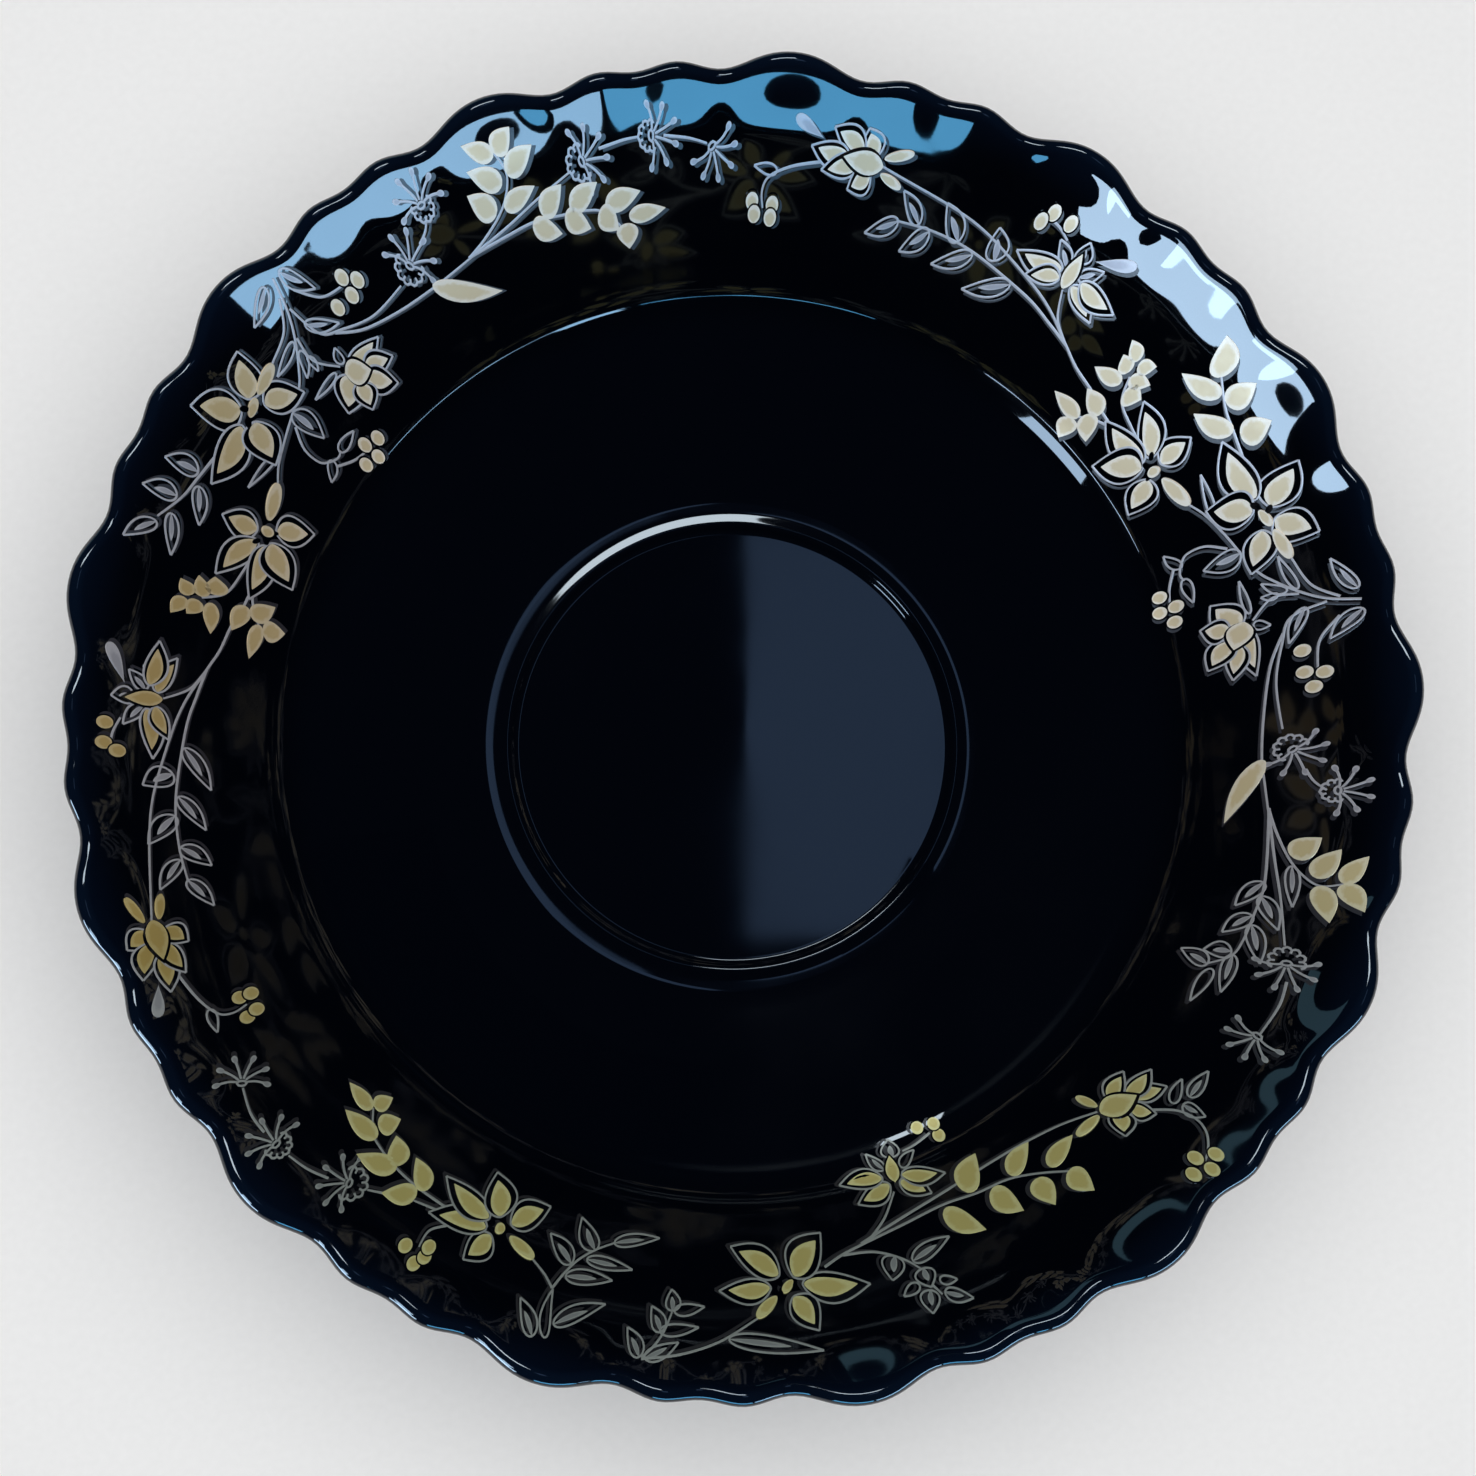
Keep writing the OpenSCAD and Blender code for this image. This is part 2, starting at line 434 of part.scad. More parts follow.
module left_gold() gold_print(
    [for (q = large_petals) carry_leaf(q)],
    concat([for (q = large_gold) carry_leaf(q)], left_gold_leaves),
    [for (q = large_berries) carry(q[0], q[1])]);

module lower_left_silver() silver_print(
    lower_left_petals, lower_left_outlines, lower_left_stems, lower_left_heads);

module lower_left_gold() gold_print(
    lower_left_petals, lower_left_gold_leaves, lower_left_berries);

module lower_right_silver() silver_print(
    lower_right_petals, lower_right_outlines, lower_right_stems, []);

module lower_right_gold() gold_print(
    lower_right_petals, lower_right_gold_leaves, lower_right_berries);

bowl();
right_silver();
right_gold();
left_silver();
left_gold();
lower_left_silver();
lower_left_gold();
lower_right_silver();
lower_right_gold();
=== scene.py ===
# %% [markdown]
# # A dark glass salad bowl with fired gold and silver sprays
#
# The real bowl is pressed soda glass, coloured so deeply that it reads as black. Its rim
# is scalloped, and four sprays of flowers lie on the inner wall: screen-printed
# transfers of gold and silver lustre, fired on until they are part of the surface.
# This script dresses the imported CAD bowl. It first loads that bowl as a fixed frame, so
# everything made here stands in the same place and at the same size.

# %% Load the frame
import math
import bpy
import numpy as np
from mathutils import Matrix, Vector


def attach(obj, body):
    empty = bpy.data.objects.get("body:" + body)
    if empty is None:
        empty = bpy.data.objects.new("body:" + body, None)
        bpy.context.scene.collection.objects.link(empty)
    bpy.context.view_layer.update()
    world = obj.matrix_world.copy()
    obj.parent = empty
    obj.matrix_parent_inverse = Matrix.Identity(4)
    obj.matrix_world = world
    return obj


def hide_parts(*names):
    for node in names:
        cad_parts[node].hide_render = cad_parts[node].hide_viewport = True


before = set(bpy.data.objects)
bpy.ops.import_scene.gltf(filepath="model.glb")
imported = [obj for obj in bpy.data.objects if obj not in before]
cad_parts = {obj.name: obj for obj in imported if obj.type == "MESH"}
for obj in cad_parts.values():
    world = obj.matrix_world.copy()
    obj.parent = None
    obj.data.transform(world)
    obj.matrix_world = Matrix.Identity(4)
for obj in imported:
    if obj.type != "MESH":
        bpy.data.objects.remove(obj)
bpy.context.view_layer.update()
print("CAD nodes:", sorted(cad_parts))

# %% [markdown]
# ## One function adds a node
# Every tree below, for shapes and for finishes, is built in the script. A node needs
# its options, its values and its links, so one function takes all three. A socket is
# named by its label or its place; a list links several outputs into one socket.

# %% Node helper
def add(tree, kind, inputs=None, **options):
    """Add one node; inputs maps a socket to a value, an output, or a list of outputs."""
    node = tree.nodes.new(kind)
    for name, value in options.items():
        setattr(node, name, value)
    for key, value in (inputs or {}).items():
        socket = node.inputs[key]
        for item in value if isinstance(value, list) else [value]:
            if isinstance(item, bpy.types.NodeSocket):
                tree.links.new(item, socket)
            else:
                socket.default_value = item
    return node


def linear(text):
    """An sRGB hex colour as linear red, green, blue, alpha."""
    parts = [int(text[i:i + 2], 16) / 255 for i in (1, 3, 5)]
    return (*[p / 12.92 if p <= 0.04045 else ((p + 0.055) / 1.055) ** 2.4
              for p in parts], 1.0)


# %% [markdown]
# ## The camera
# The bowl is seen from almost straight above, held a little to the lower left of its
# centre. The camera's place and its two small tilts were fitted to the rim and the well
# and then rounded. There is no shift.

# %% Camera
CAMERA_PLACE = (-0.0306, -0.0582, 0.537)
CAMERA_TURN = (0.1115, -0.0595, 0.0)
LENS = 66.6
camera_data = bpy.data.cameras.new("camera")
camera_data.lens, camera_data.sensor_width = LENS, 36
camera = bpy.data.objects.new("camera", camera_data)
camera.location, camera.rotation_euler = CAMERA_PLACE, CAMERA_TURN
bpy.context.scene.collection.objects.link(camera)
bpy.context.scene.camera = camera

# %% [markdown]
# ## Working a tree into a plain mesh
# A Geometry Nodes tree is a recipe. It is run once on a source mesh, the result is kept
# as an ordinary mesh, and the modifier goes, so the finished piece needs no recipe.

# %% Tree helpers
def new_tree(name, inputs):
    """A Geometry Nodes tree with a geometry socket each way and the named inputs."""
    tree = bpy.data.node_groups.new(name, "GeometryNodeTree")
    tree.interface.new_socket("Geometry", in_out="INPUT", socket_type="NodeSocketGeometry")
    for label, kind in inputs.items():
        tree.interface.new_socket(label, in_out="INPUT", socket_type="NodeSocket" + kind)
    tree.interface.new_socket("Geometry", in_out="OUTPUT", socket_type="NodeSocketGeometry")
    return tree


def source_mesh(name, points, edges, attributes, faces=()):
    """An object with these vertices and one float attribute for each named list."""
    mesh = bpy.data.meshes.new(name)
    mesh.from_pydata([tuple(p) for p in points], edges, faces)
    for label, values in attributes.items():
        layer = mesh.attributes.new(label, "FLOAT", "POINT")
        layer.data.foreach_set("value", np.array(values, np.float32))
    piece = bpy.data.objects.new(name, mesh)
    bpy.context.scene.collection.objects.link(piece)
    return piece


def grow(name, source, tree, values):
    """Run the tree on the source with these inputs; return the result as a new object."""
    modifier = source.modifiers.new(tree.name, "NODES")
    modifier.node_group = tree
    for item in tree.interface.items_tree:
        if item.in_out == "INPUT" and item.name in values:
            modifier[item.identifier] = values[item.name]
    graph = bpy.context.evaluated_depsgraph_get()
    mesh = bpy.data.meshes.new_from_object(
        source.evaluated_get(graph), preserve_all_data_layers=True, depsgraph=graph)
    source.modifiers.remove(modifier)
    bpy.data.objects.remove(source)
    mesh.name = name
    piece = bpy.data.objects.new(name, mesh)
    bpy.context.scene.collection.objects.link(piece)
    triangles = sum(len(p.vertices) - 2 for p in mesh.polygons)
    print(name, "has", triangles, "triangles")
    return piece


# %% [markdown]
# ## The glass
# Dark soda glass, pressed in a mould and fire-polished. Soda glass bends light by 1.52,
# which makes it reflect about 4% square on and far more at a grazing angle: that is why
# the bowl is black in the middle and bright at its edges. Fire polishing leaves a mirror
# with very shallow waves some 20 mm long, and a few wiping marks make it a touch less
# clear in places. The colour is a near-black blue. The navy towards the thin rim is
# painted light, standing in for light that passes through the thin glass there.

# %% Glass material
def new_material(name):
    """An empty node material with its Principled shader linked up."""
    material = bpy.data.materials.new(name)
    material.use_nodes = True
    tree = material.node_tree
    tree.nodes.clear()
    shader = add(tree, "ShaderNodeBsdfPrincipled")
    add(tree, "ShaderNodeOutputMaterial", {"Surface": shader.outputs[0]})
    return material, tree, shader


WAVE_MM = 22            # length of the shallow waves left by fire polishing
WIPE_MM = 45            # size of the faint wiping marks
glass, tree, shader = new_material("pressed_dark_soda_glass_fire_polished")
place = add(tree, "ShaderNodeTexCoord").outputs["Object"]
flat = add(tree, "ShaderNodeVectorMath", {0: place, 1: (1, 1, 0)}, operation="MULTIPLY")
radius = add(tree, "ShaderNodeVectorMath", {0: flat.outputs[0]}, operation="LENGTH")
# Painted light: the colour turns navy towards the rim, standing in for light passing through the thin
# glass there.
towards_rim = add(tree, "ShaderNodeMapRange", {
    "Value": radius.outputs["Value"], "From Min": 0.112, "From Max": 0.122},
    interpolation_type="SMOOTHSTEP")
body_colour_and_rim_glow = add(tree, "ShaderNodeMix", {
    "Factor": towards_rim.outputs[0], 6: linear("#02040a"), 7: linear("#06101f")},
    data_type="RGBA")
wipe = add(tree, "ShaderNodeTexNoise", {
    "Vector": place, "Scale": 1000 / WIPE_MM, "Detail": 3.0})
clarity = add(tree, "ShaderNodeMapRange", {
    "Value": wipe.outputs["Fac"], "From Min": 0.35, "From Max": 0.75,
    "To Min": 0.015, "To Max": 0.07})
waves = add(tree, "ShaderNodeTexNoise", {
    "Vector": place, "Scale": 1000 / WAVE_MM, "Detail": 1.0})
ripple = add(tree, "ShaderNodeBump", {
    "Height": waves.outputs["Fac"], "Strength": 0.1, "Distance": 0.0002})
for socket, value in {"Base Color": body_colour_and_rim_glow.outputs[2], "Roughness": clarity.outputs[0],
                      "Normal": ripple.outputs[0]}.items():
    tree.links.new(value, shader.inputs[socket])
shader.inputs["IOR"].default_value = 1.52
shader.inputs["Specular IOR Level"].default_value = 0.4     # a fifth less mirror than 1.52

# %% [markdown]
# ## The section of the bowl
# A bowl is a rule: one section carried round an axis. The section is written as
# stations of radius, height and share of the scallops. The well floor is flat and a
# rounded bead stands round it. The wall runs out almost level, turns up in a tight
# shoulder, climbs steeply behind the prints and leans out again below the lip. The lip
# is a half round as thick as the wall; the outside follows 3.5 mm behind; the foot is a
# narrow ring.

# %% Section, in millimetres
MM = 0.001
FLOOR, WALL, RISE = 6.0, 3.5, 50.0
RING, WALL_END = 48.0, 117.36       # where the wall leaves the bead and meets the lip
LOW, STEEP, OPEN = 0.235, 1.945, 1.62   # steepness low down, behind the prints, at the rim
BEND, FLARE = (0.465, 0.155), (0.87, 0.09)  # where it changes: start and length
FOOT, FOOT_DEPTH = 47.5, 1.6
FADE_RUN = 7                        # how far the scallops reach down the wall
LEDGE_AT, LEDGE_RUN, LEDGE_UP = 41.9, 2.1, 1.15     # the step round the well floor
BEAD_TURNS, BEAD_SOFT = (44.1, 45.9), 0.3   # where the bead starts to fall and to climb
BEAD_FALL, BEAD_CLIMB = 0.13, 0.19          # how steeply it does so


def gained(u, turn):
    """Height gained past a turn that eases from level to a slope of one."""
    x = (u - turn[0]) / turn[1]
    t = min(1, max(0, x))
    return turn[1] * (t**3 - t**4 / 2 + max(0, x - 1))


def wall_height(r):
    """Height of the inner wall at a radius."""
    u = (r - RING) / (WALL_END - RING)
    return FLOOR + 1 + RISE * (LOW * u + (STEEP - LOW) * gained(u, BEND)
                               - (STEEP - OPEN) * gained(u, FLARE))


def slope_at(r):
    """Lean of the inner wall from level, in radians."""
    return math.atan((wall_height(r + 0.01) - wall_height(r - 0.01)) / 0.02)


def behind(r, depth):
    """The point this far behind the inner wall, square to it."""
    return r + depth * math.sin(slope_at(r)), wall_height(r) - depth * math.cos(slope_at(r))


def fade(r):
    """How much of the scallop reaches the wall at a radius."""
    f = min(1, max(0, (r - WALL_END + FADE_RUN) / FADE_RUN))
    return f * f * (3 - 2 * f)


def well(r):
    """Height of the floor, the step round it and the narrow bead on top of the step."""
    s = min(1, max(0, (r - LEDGE_AT) / LEDGE_RUN))
    fall, rise = ((math.hypot(r - turn, BEAD_SOFT) + r - turn) / 2 for turn in BEAD_TURNS)
    return FLOOR + LEDGE_UP * s * s * (3 - 2*s) - BEAD_FALL * fall + BEAD_CLIMB * rise


def rounded(corners, steps=4):
    """Corners given as (radius, height, rounding), each turned into a short curve."""
    points = [Vector(c[:2]) for c in corners]
    line = [points[0]]
    for k in range(1, len(points) - 1):
        before, here, after = points[k - 1:k + 2]
        a = here + (before - here).normalized() * corners[k][2]
        b = here + (after - here).normalized() * corners[k][2]
        line += [a.lerp(here, t).lerp(here.lerp(b, t), t)
                 for t in [i / steps for i in range(steps + 1)]]
    return line + [points[-1]]


section = [(r, FLOOR, 0) for r in (0, 12, 24, 34, 40)]
section += [(r, well(r), 0) for r in np.linspace(41.5, 47.9, 26)]
wall_radii = [*np.arange(49, 79, 3), *np.arange(79, 92, 0.7), *np.arange(92, 106, 2.0),
              *np.arange(106, WALL_END - 0.3, 0.7), WALL_END]       # closer where it turns
section += [(r, wall_height(r), fade(r)) for r in wall_radii]
lip_r, lip_z = behind(WALL_END, WALL / 2)
lean = slope_at(WALL_END)
section += [(lip_r - WALL/2 * math.sin(lean - t), lip_z + WALL/2 * math.cos(lean - t), 1)
            for t in np.linspace(0, math.pi, 16)[1:-1]]
section += [(*behind(r, WALL), fade(r)) for r in wall_radii[::-2] if r > 60]
under = rounded([(*behind(58, WALL), 0), (53.6, 4.2, 2.2), (FOOT + 2.6, 1.3, 1.0),
                 (FOOT + 1.4, 0, 0.9), (FOOT - 1.3, 0, 0.7), (FOOT - 2.6, FOOT_DEPTH, 0.8),
                 (20, FOOT_DEPTH, 2), (0, FOOT_DEPTH, 0)])
section += [(p.x, p.y, 0) for p in under]
print("section has", len(section), "stations")

# %% [markdown]
# ## Sweeping the section round
# The rim has 13 groups of one large and two small scallops, and a short cosine series,
# fitted to the rim and rounded, draws one group. The tree makes a grid, one row for each
# station and many columns round the axis, reads each row's station, adds the scallops,
# and wraps the grid round. Each scallop also rises as it reaches outwards; how much is a
# guess. The seam and the two poles are merged so the glass is one closed skin.

# %% Bowl tree
GROUPS, FIRST_LOBE, COLUMNS = 13, math.radians(3), 13 * 46
LOBES = {1: 0.60, 2: 0.85, 3: 0.55, 4: -0.30}        # depth of each wave, mm
LIFT = 0.7              # rise of a scallop for each millimetre that it reaches outwards
tree = new_tree("scalloped_bowl", {
    "Columns": "Int", "Groups": "Int", "First Lobe": "Float", "Depth": "Float",
    "Lift": "Float", "Glass": "Material"})
given = add(tree, "NodeGroupInput").outputs
rows = add(tree, "GeometryNodeAttributeDomainSize", {"Geometry": given["Geometry"]})
across = add(tree, "ShaderNodeMath", {0: given["Columns"], 1: 1}, operation="ADD")
grid = add(tree, "GeometryNodeMeshGrid", {
    "Size X": 1.0, "Size Y": 1.0, "Vertices X": across.outputs[0],
    "Vertices Y": rows.outputs["Point Count"]})
spot = add(tree, "ShaderNodeSeparateXYZ", {
    0: add(tree, "GeometryNodeInputPosition").outputs[0]})
turn = add(tree, "ShaderNodeMapRange", {
    "Value": spot.outputs["X"], "From Min": -0.5, "From Max": 0.5, "To Max": math.tau})
last = add(tree, "ShaderNodeMath", {0: rows.outputs["Point Count"], 1: 1},
           operation="SUBTRACT")
row = add(tree, "ShaderNodeMapRange", {
    "Value": spot.outputs["Y"], "From Min": -0.5, "From Max": 0.5, "To Max": last.outputs[0]})
row = add(tree, "ShaderNodeMath", {0: row.outputs[0]}, operation="ROUND")
station = add(tree, "GeometryNodeSampleIndex", {
    "Geometry": given["Geometry"], "Index": row.outputs[0],
    "Value": add(tree, "GeometryNodeInputPosition").outputs[0]}, data_type="FLOAT_VECTOR")
station = add(tree, "ShaderNodeSeparateXYZ", {0: station.outputs[0]})
share = add(tree, "GeometryNodeSampleIndex", {
    "Geometry": given["Geometry"], "Index": row.outputs[0],
    "Value": add(tree, "GeometryNodeInputNamedAttribute", {"Name": "share"}).outputs[0]})
angle = add(tree, "ShaderNodeMath", {0: turn.outputs[0], 1: given["First Lobe"]},
            operation="SUBTRACT")
angle = add(tree, "ShaderNodeMath", {0: angle.outputs[0], 1: given["Groups"]},
            operation="MULTIPLY")
scallop = 0.0
for harmonic, depth in LOBES.items():
    wave = add(tree, "ShaderNodeMath", {0: angle.outputs[0], 1: harmonic},
               operation="MULTIPLY")
    wave = add(tree, "ShaderNodeMath", {0: wave.outputs[0]}, operation="COSINE")
    wave = add(tree, "ShaderNodeMath", {0: wave.outputs[0], 1: depth * MM, 2: scallop},
               operation="MULTIPLY_ADD")
    scallop = wave.outputs[0]
scallop = add(tree, "ShaderNodeMath", {0: scallop, 1: given["Depth"]}, operation="MULTIPLY")
reach = add(tree, "ShaderNodeMath", {
    0: scallop.outputs[0], 1: share.outputs[0], 2: station.outputs["X"]},
    operation="MULTIPLY_ADD")
lifted = add(tree, "ShaderNodeMath", {0: scallop.outputs[0], 1: share.outputs[0]},
             operation="MULTIPLY")
lifted = add(tree, "ShaderNodeMath", {
    0: lifted.outputs[0], 1: given["Lift"], 2: station.outputs["Z"]},
    operation="MULTIPLY_ADD")
wrapped = add(tree, "ShaderNodeCombineXYZ", {
    "X": reach.outputs[0], "Z": lifted.outputs[0]})
wrapped = add(tree, "ShaderNodeVectorRotate", {
    "Vector": wrapped.outputs[0], "Angle": turn.outputs[0]}, rotation_type="Z_AXIS")
shell = add(tree, "GeometryNodeSetPosition", {
    "Geometry": grid.outputs["Mesh"], "Position": wrapped.outputs[0]})
shell = add(tree, "GeometryNodeMergeByDistance", {
    "Geometry": shell.outputs[0], "Distance": 1e-6})
shell = add(tree, "GeometryNodeFlipFaces", {"Mesh": shell.outputs[0]})
shell = add(tree, "GeometryNodeSetShadeSmooth", {"Geometry": shell.outputs[0]})
shell = add(tree, "GeometryNodeRealizeInstances", {"Geometry": shell.outputs[0]})
shell = add(tree, "GeometryNodeSetMaterial", {
    "Geometry": shell.outputs[0], "Material": given["Glass"]})
add(tree, "NodeGroupOutput", {"Geometry": shell.outputs[0]})

# %% Make the bowl
source = source_mesh(
    "section", [(r * MM, 0, z * MM) for r, z, s in section],
    [(k, k + 1) for k in range(len(section) - 1)], {"share": [s for r, z, s in section]})
bowl = grow("glass_bowl", source, tree, {
    "Columns": COLUMNS, "Groups": GROUPS, "First Lobe": FIRST_LOBE, "Depth": 1.0,
    "Lift": LIFT, "Glass": glass})


def volume(mesh):
    """Signed volume; above zero when the faces point outwards."""
    total = 0.0
    for face in mesh.polygons:
        a = mesh.vertices[face.vertices[0]].co
        for i in range(1, len(face.vertices) - 1):
            b, c = (mesh.vertices[face.vertices[j]].co for j in (i, i + 1))
            total += a.dot(b.cross(c)) / 6
    return total


print("glass volume, cm3:", round(volume(bowl.data) * 1e6, 1))
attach(bowl, "root")
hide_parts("bowl")

# %% [markdown]
# ## The fired metals
# Lustre is a solution of real metal in resin. Printed and fired, it leaves a film that is
# part mirror, part fine powder, so it shines softly and keeps its own colour from every
# side. Gold over black glass is champagne where it lies thick and olive where it is thin:
# each leaf has a paler edge, where the print's bead dried, and a thinner, greener middle.
# The whole tone drifts across the bowl, warm on one side and greenish on another; this drift
# is painted reflection, standing in for the room's colours that the metal mirrors on each side.

# %% Gold and silver materials
MOTTLE_MM = 1.1         # size of the cloudy patches in a fired film
GRAIN_MM = 0.25         # powder grain; the real one is finer, drawn as coarse as shows


def lustre(name, edge, middle, reflection_drifts, metal, rough):
    """A fired film: edge and middle colours, mottle, and a painted reflection drift."""
    material, tree, shader = new_material(name)
    place = add(tree, "ShaderNodeTexCoord").outputs["Object"]
    along = add(tree, "ShaderNodeAttribute", attribute_name="along").outputs["Fac"]
    side = add(tree, "ShaderNodeAttribute", attribute_name="across").outputs["Fac"]
    off_axis = add(tree, "ShaderNodeMath", {0: along, 1: 0.42}, operation="SUBTRACT")
    off_axis = add(tree, "ShaderNodeMath", {0: off_axis.outputs[0], 1: 1.9},
                   operation="MULTIPLY")
    spread = add(tree, "ShaderNodeCombineXYZ", {"X": off_axis.outputs[0], "Y": side})
    spread = add(tree, "ShaderNodeVectorMath", {0: spread.outputs[0]}, operation="LENGTH")
    mottle = add(tree, "ShaderNodeTexNoise", {
        "Vector": place, "Scale": 1000 / MOTTLE_MM, "Detail": 2.0})
    wobble = add(tree, "ShaderNodeMath", {
        0: mottle.outputs["Fac"], 1: 0.5, 2: spread.outputs["Value"]},
        operation="MULTIPLY_ADD")
    thickness = add(tree, "ShaderNodeMapRange", {
        "Value": wobble.outputs[0], "From Min": 0.75, "From Max": 1.1},
        interpolation_type="SMOOTHSTEP")
    colour = add(tree, "ShaderNodeMix", {
        "Factor": thickness.outputs[0], 6: linear(middle), 7: linear(edge)},
        data_type="RGBA")
    colour = colour.outputs[2]
    spot = add(tree, "ShaderNodeSeparateXYZ", {0: place})
    # Painted reflection: each drift multiplies the colour towards a tint across the bowl.
    for axis, start, end, shade in reflection_drifts:
        amount = add(tree, "ShaderNodeMapRange", {
            "Value": spot.outputs[axis], "From Min": start, "From Max": end},
            interpolation_type="SMOOTHSTEP")
        colour = add(tree, "ShaderNodeMix", {
            "Factor": amount.outputs[0], 6: colour, 7: linear(shade)},
            data_type="RGBA", blend_type="MULTIPLY").outputs[2]
    grain = add(tree, "ShaderNodeTexNoise", {
        "Vector": place, "Scale": 1000 / GRAIN_MM, "Detail": 1.0})
    sheen = add(tree, "ShaderNodeMapRange", {
        "Value": mottle.outputs["Fac"], "To Min": rough - 0.08, "To Max": rough + 0.1})
    bump = add(tree, "ShaderNodeBump", {
        "Height": grain.outputs["Fac"], "Strength": 0.4, "Distance": 0.00003})
    for socket, value in {"Base Color": colour, "Roughness": sheen.outputs[0],
                          "Normal": bump.outputs[0]}.items():
        tree.links.new(value, shader.inputs[socket])
    shader.inputs["Metallic"].default_value = metal
    return material


# The last list of each film is its painted reflection drift: axis, start, end and tint.
gold = lustre("gold_lustre_screen_printed_and_fired", "#efe5d4", "#dccaa4", [
    ("Y", 0.02, -0.09, "#d6e0ac"), ("X", -0.06, -0.11, "#d8c9a2")], 0.15, 0.46)
silver = lustre("silver_lustre_screen_printed_and_fired", "#b9b8be", "#a3a2aa", [
    ("Y", 0.0, -0.09, "#cfdcd0")], 0.2, 0.44)
# A dark grey copy of the metals, drawn a little to one side of them.
ghost = lustre("dark_grey_offset_copy", "#2f2d33", "#2a282e", [
    ("Y", 0.0, -0.09, "#e0ece0")], 0.0, 0.4)

# %% [markdown]
# ## Laying out the prints flat
# A transfer is drawn flat and then lies down on the wall. Each place is written as a
# clock angle in degrees and a plan radius in millimetres. The places were read in the
# camera's view, where low places look further in than they are, so one rule moves them
# out. Its rates were worked out for this wall and this view and then rounded. Two
# kinds of mark make every motif: a wire, which is a drawn line with a width, and a
# plate, a filled leaf shape between a base and a tip. Marks are stacked in very small
# steps, so a front petal covers the one behind it as layers of a print do.

# %% Flat drawing
STEP = 0.01 * MM        # height between two layers of print
SINK = 0.05 * MM        # how far a print reaches into the glass
LINE, STEM = 0.34, 0.46     # widths of the outlines and the stems, mm
HIGH, LEANING = 111, 62     # radius that needs no moving; clock angle that needs the most
SWAY, SPREAD, UNEVEN = 0.025, 0.052, 0.7    # degrees and mm moved for each mm below HIGH


def plan(angle, radius):
    """A clock place as x and y in metres; low places lie further out than they look."""
    below, off = max(0, HIGH - radius), math.radians(angle - LEANING)
    a = math.radians(angle - SWAY * below * math.sin(off))
    r = radius + SPREAD * below * (1 + UNEVEN * math.cos(off))
    return np.array([math.cos(a), math.sin(a)]) * r * MM


def sheet():
    """An empty flat print: its wires and its plates."""
    return {"wires": [], "plates": []}


def wire(print_, points, width, layer, taper=1.0):
    """A drawn line through points in metres; taper is its width at the end."""
    halves = np.linspace(width / 2, width / 2 * taper, len(points)) * MM
    print_["wires"].append((points, halves, layer * STEP))


def plate(print_, base, tip, width, layer, belly=(0.55, 0.75), bend=0.0):
    """A filled leaf; belly gives how fast it widens from its base and its tip."""
    run = tip - base
    length = float(np.hypot(*run))
    p, q = belly
    peak = (p / (p + q)) ** p * (q / (p + q)) ** q
    print_["plates"].append((base, layer * STEP, {
        "aim": math.atan2(run[1], run[0]), "length": length,
        "girth": width / 2 * MM / peak, "base_belly": p, "tip_belly": q, "bend": bend}))


def outline(print_, base, tip, width, line, layer, belly=(0.55, 0.75), bend=0.0):
    """The two sides of a leaf shape, each a drawn line from its base to its tip."""
    run = tip - base
    side = np.array([-run[1], run[0]]) / np.hypot(*run)
    p, q = belly
    peak = (p / (p + q)) ** p * (q / (p + q)) ** q
    t = (1 - np.cos(np.linspace(0, math.pi, 15))) / 2
    half = t**p * (1 - t)**q / peak * (width - line) / 2 * MM
    bow = bend * np.hypot(*run) * np.sin(math.pi * t)
    for way in (1, -1):
        wire(print_, base + np.outer(t, run) + np.outer(way * half + bow, side), line, layer)


# %% [markdown]
# ## The motifs
# Petals are drawn as a silver outline, then a dark gap where the glass shows, then a gold
# heart. Leaves come in gold, or as a silver outline with a small silver leaf inside. A
# seed head is a ring of scallops, open towards a fan of threads that end in small loops.

# %% Motifs
GOLD_LEAF, PETAL, HEART = (0.55, 1.05), (0.72, 1.1), (0.7, 1.0)
DROP, ROUND = (1.3, 0.5), (0.5, 0.5)
PETAL_RUN, PETAL_GIRTH = 1.08, 1.1      # a petal against its drawn length and width
HEART_START, HEART_END, HEART_GIRTH = 0.02, 0.82, 0.62      # its heart, as shares of it


def petal(spray, q, layer, bend=0.0):
    """One petal [angle, radius, angle, radius, width], over what lies below it."""
    base, tip = plan(*q[:2]), plan(*q[2:4])
    run, width = PETAL_RUN * (tip - base), PETAL_GIRTH * q[4]
    plate(spray["gap"], base, base + run, width, layer, PETAL, bend)
    outline(spray["silver"], base, base + run, width, LINE, layer + 2, PETAL, bend)
    plate(spray["gold"], base + HEART_START * run, base + HEART_END * run,
          HEART_GIRTH * width, layer + 1, HEART, bend)


def silver_leaf(spray, q, layer, bend=0.0):
    """An outlined leaf; a wide one has a small leaf inside."""
    base, tip = plan(*q[:2]), plan(*q[2:4])
    outline(spray["silver"], base, tip, q[4], LINE, layer, GOLD_LEAF, bend)
    if q[4] >= 2.4:
        plate(spray["silver"], base, base + 0.66 * (tip - base), q[4] * 0.3, layer,
              (0.9, 0.8), bend * 0.66)


def curve_by_growth(q, root):
    """The bow of a leaf that turns its tip the way the spray grows."""
    way = 1 if (q[0] + q[2]) / 2 > root else -1
    a = math.radians(q[0])
    growth = np.array([-math.sin(a), math.cos(a)]) * way
    run = plan(*q[2:4]) - plan(*q[:2])
    turn = run[0] * growth[1] - run[1] * growth[0]
    return -0.07 * turn / np.hypot(*run)


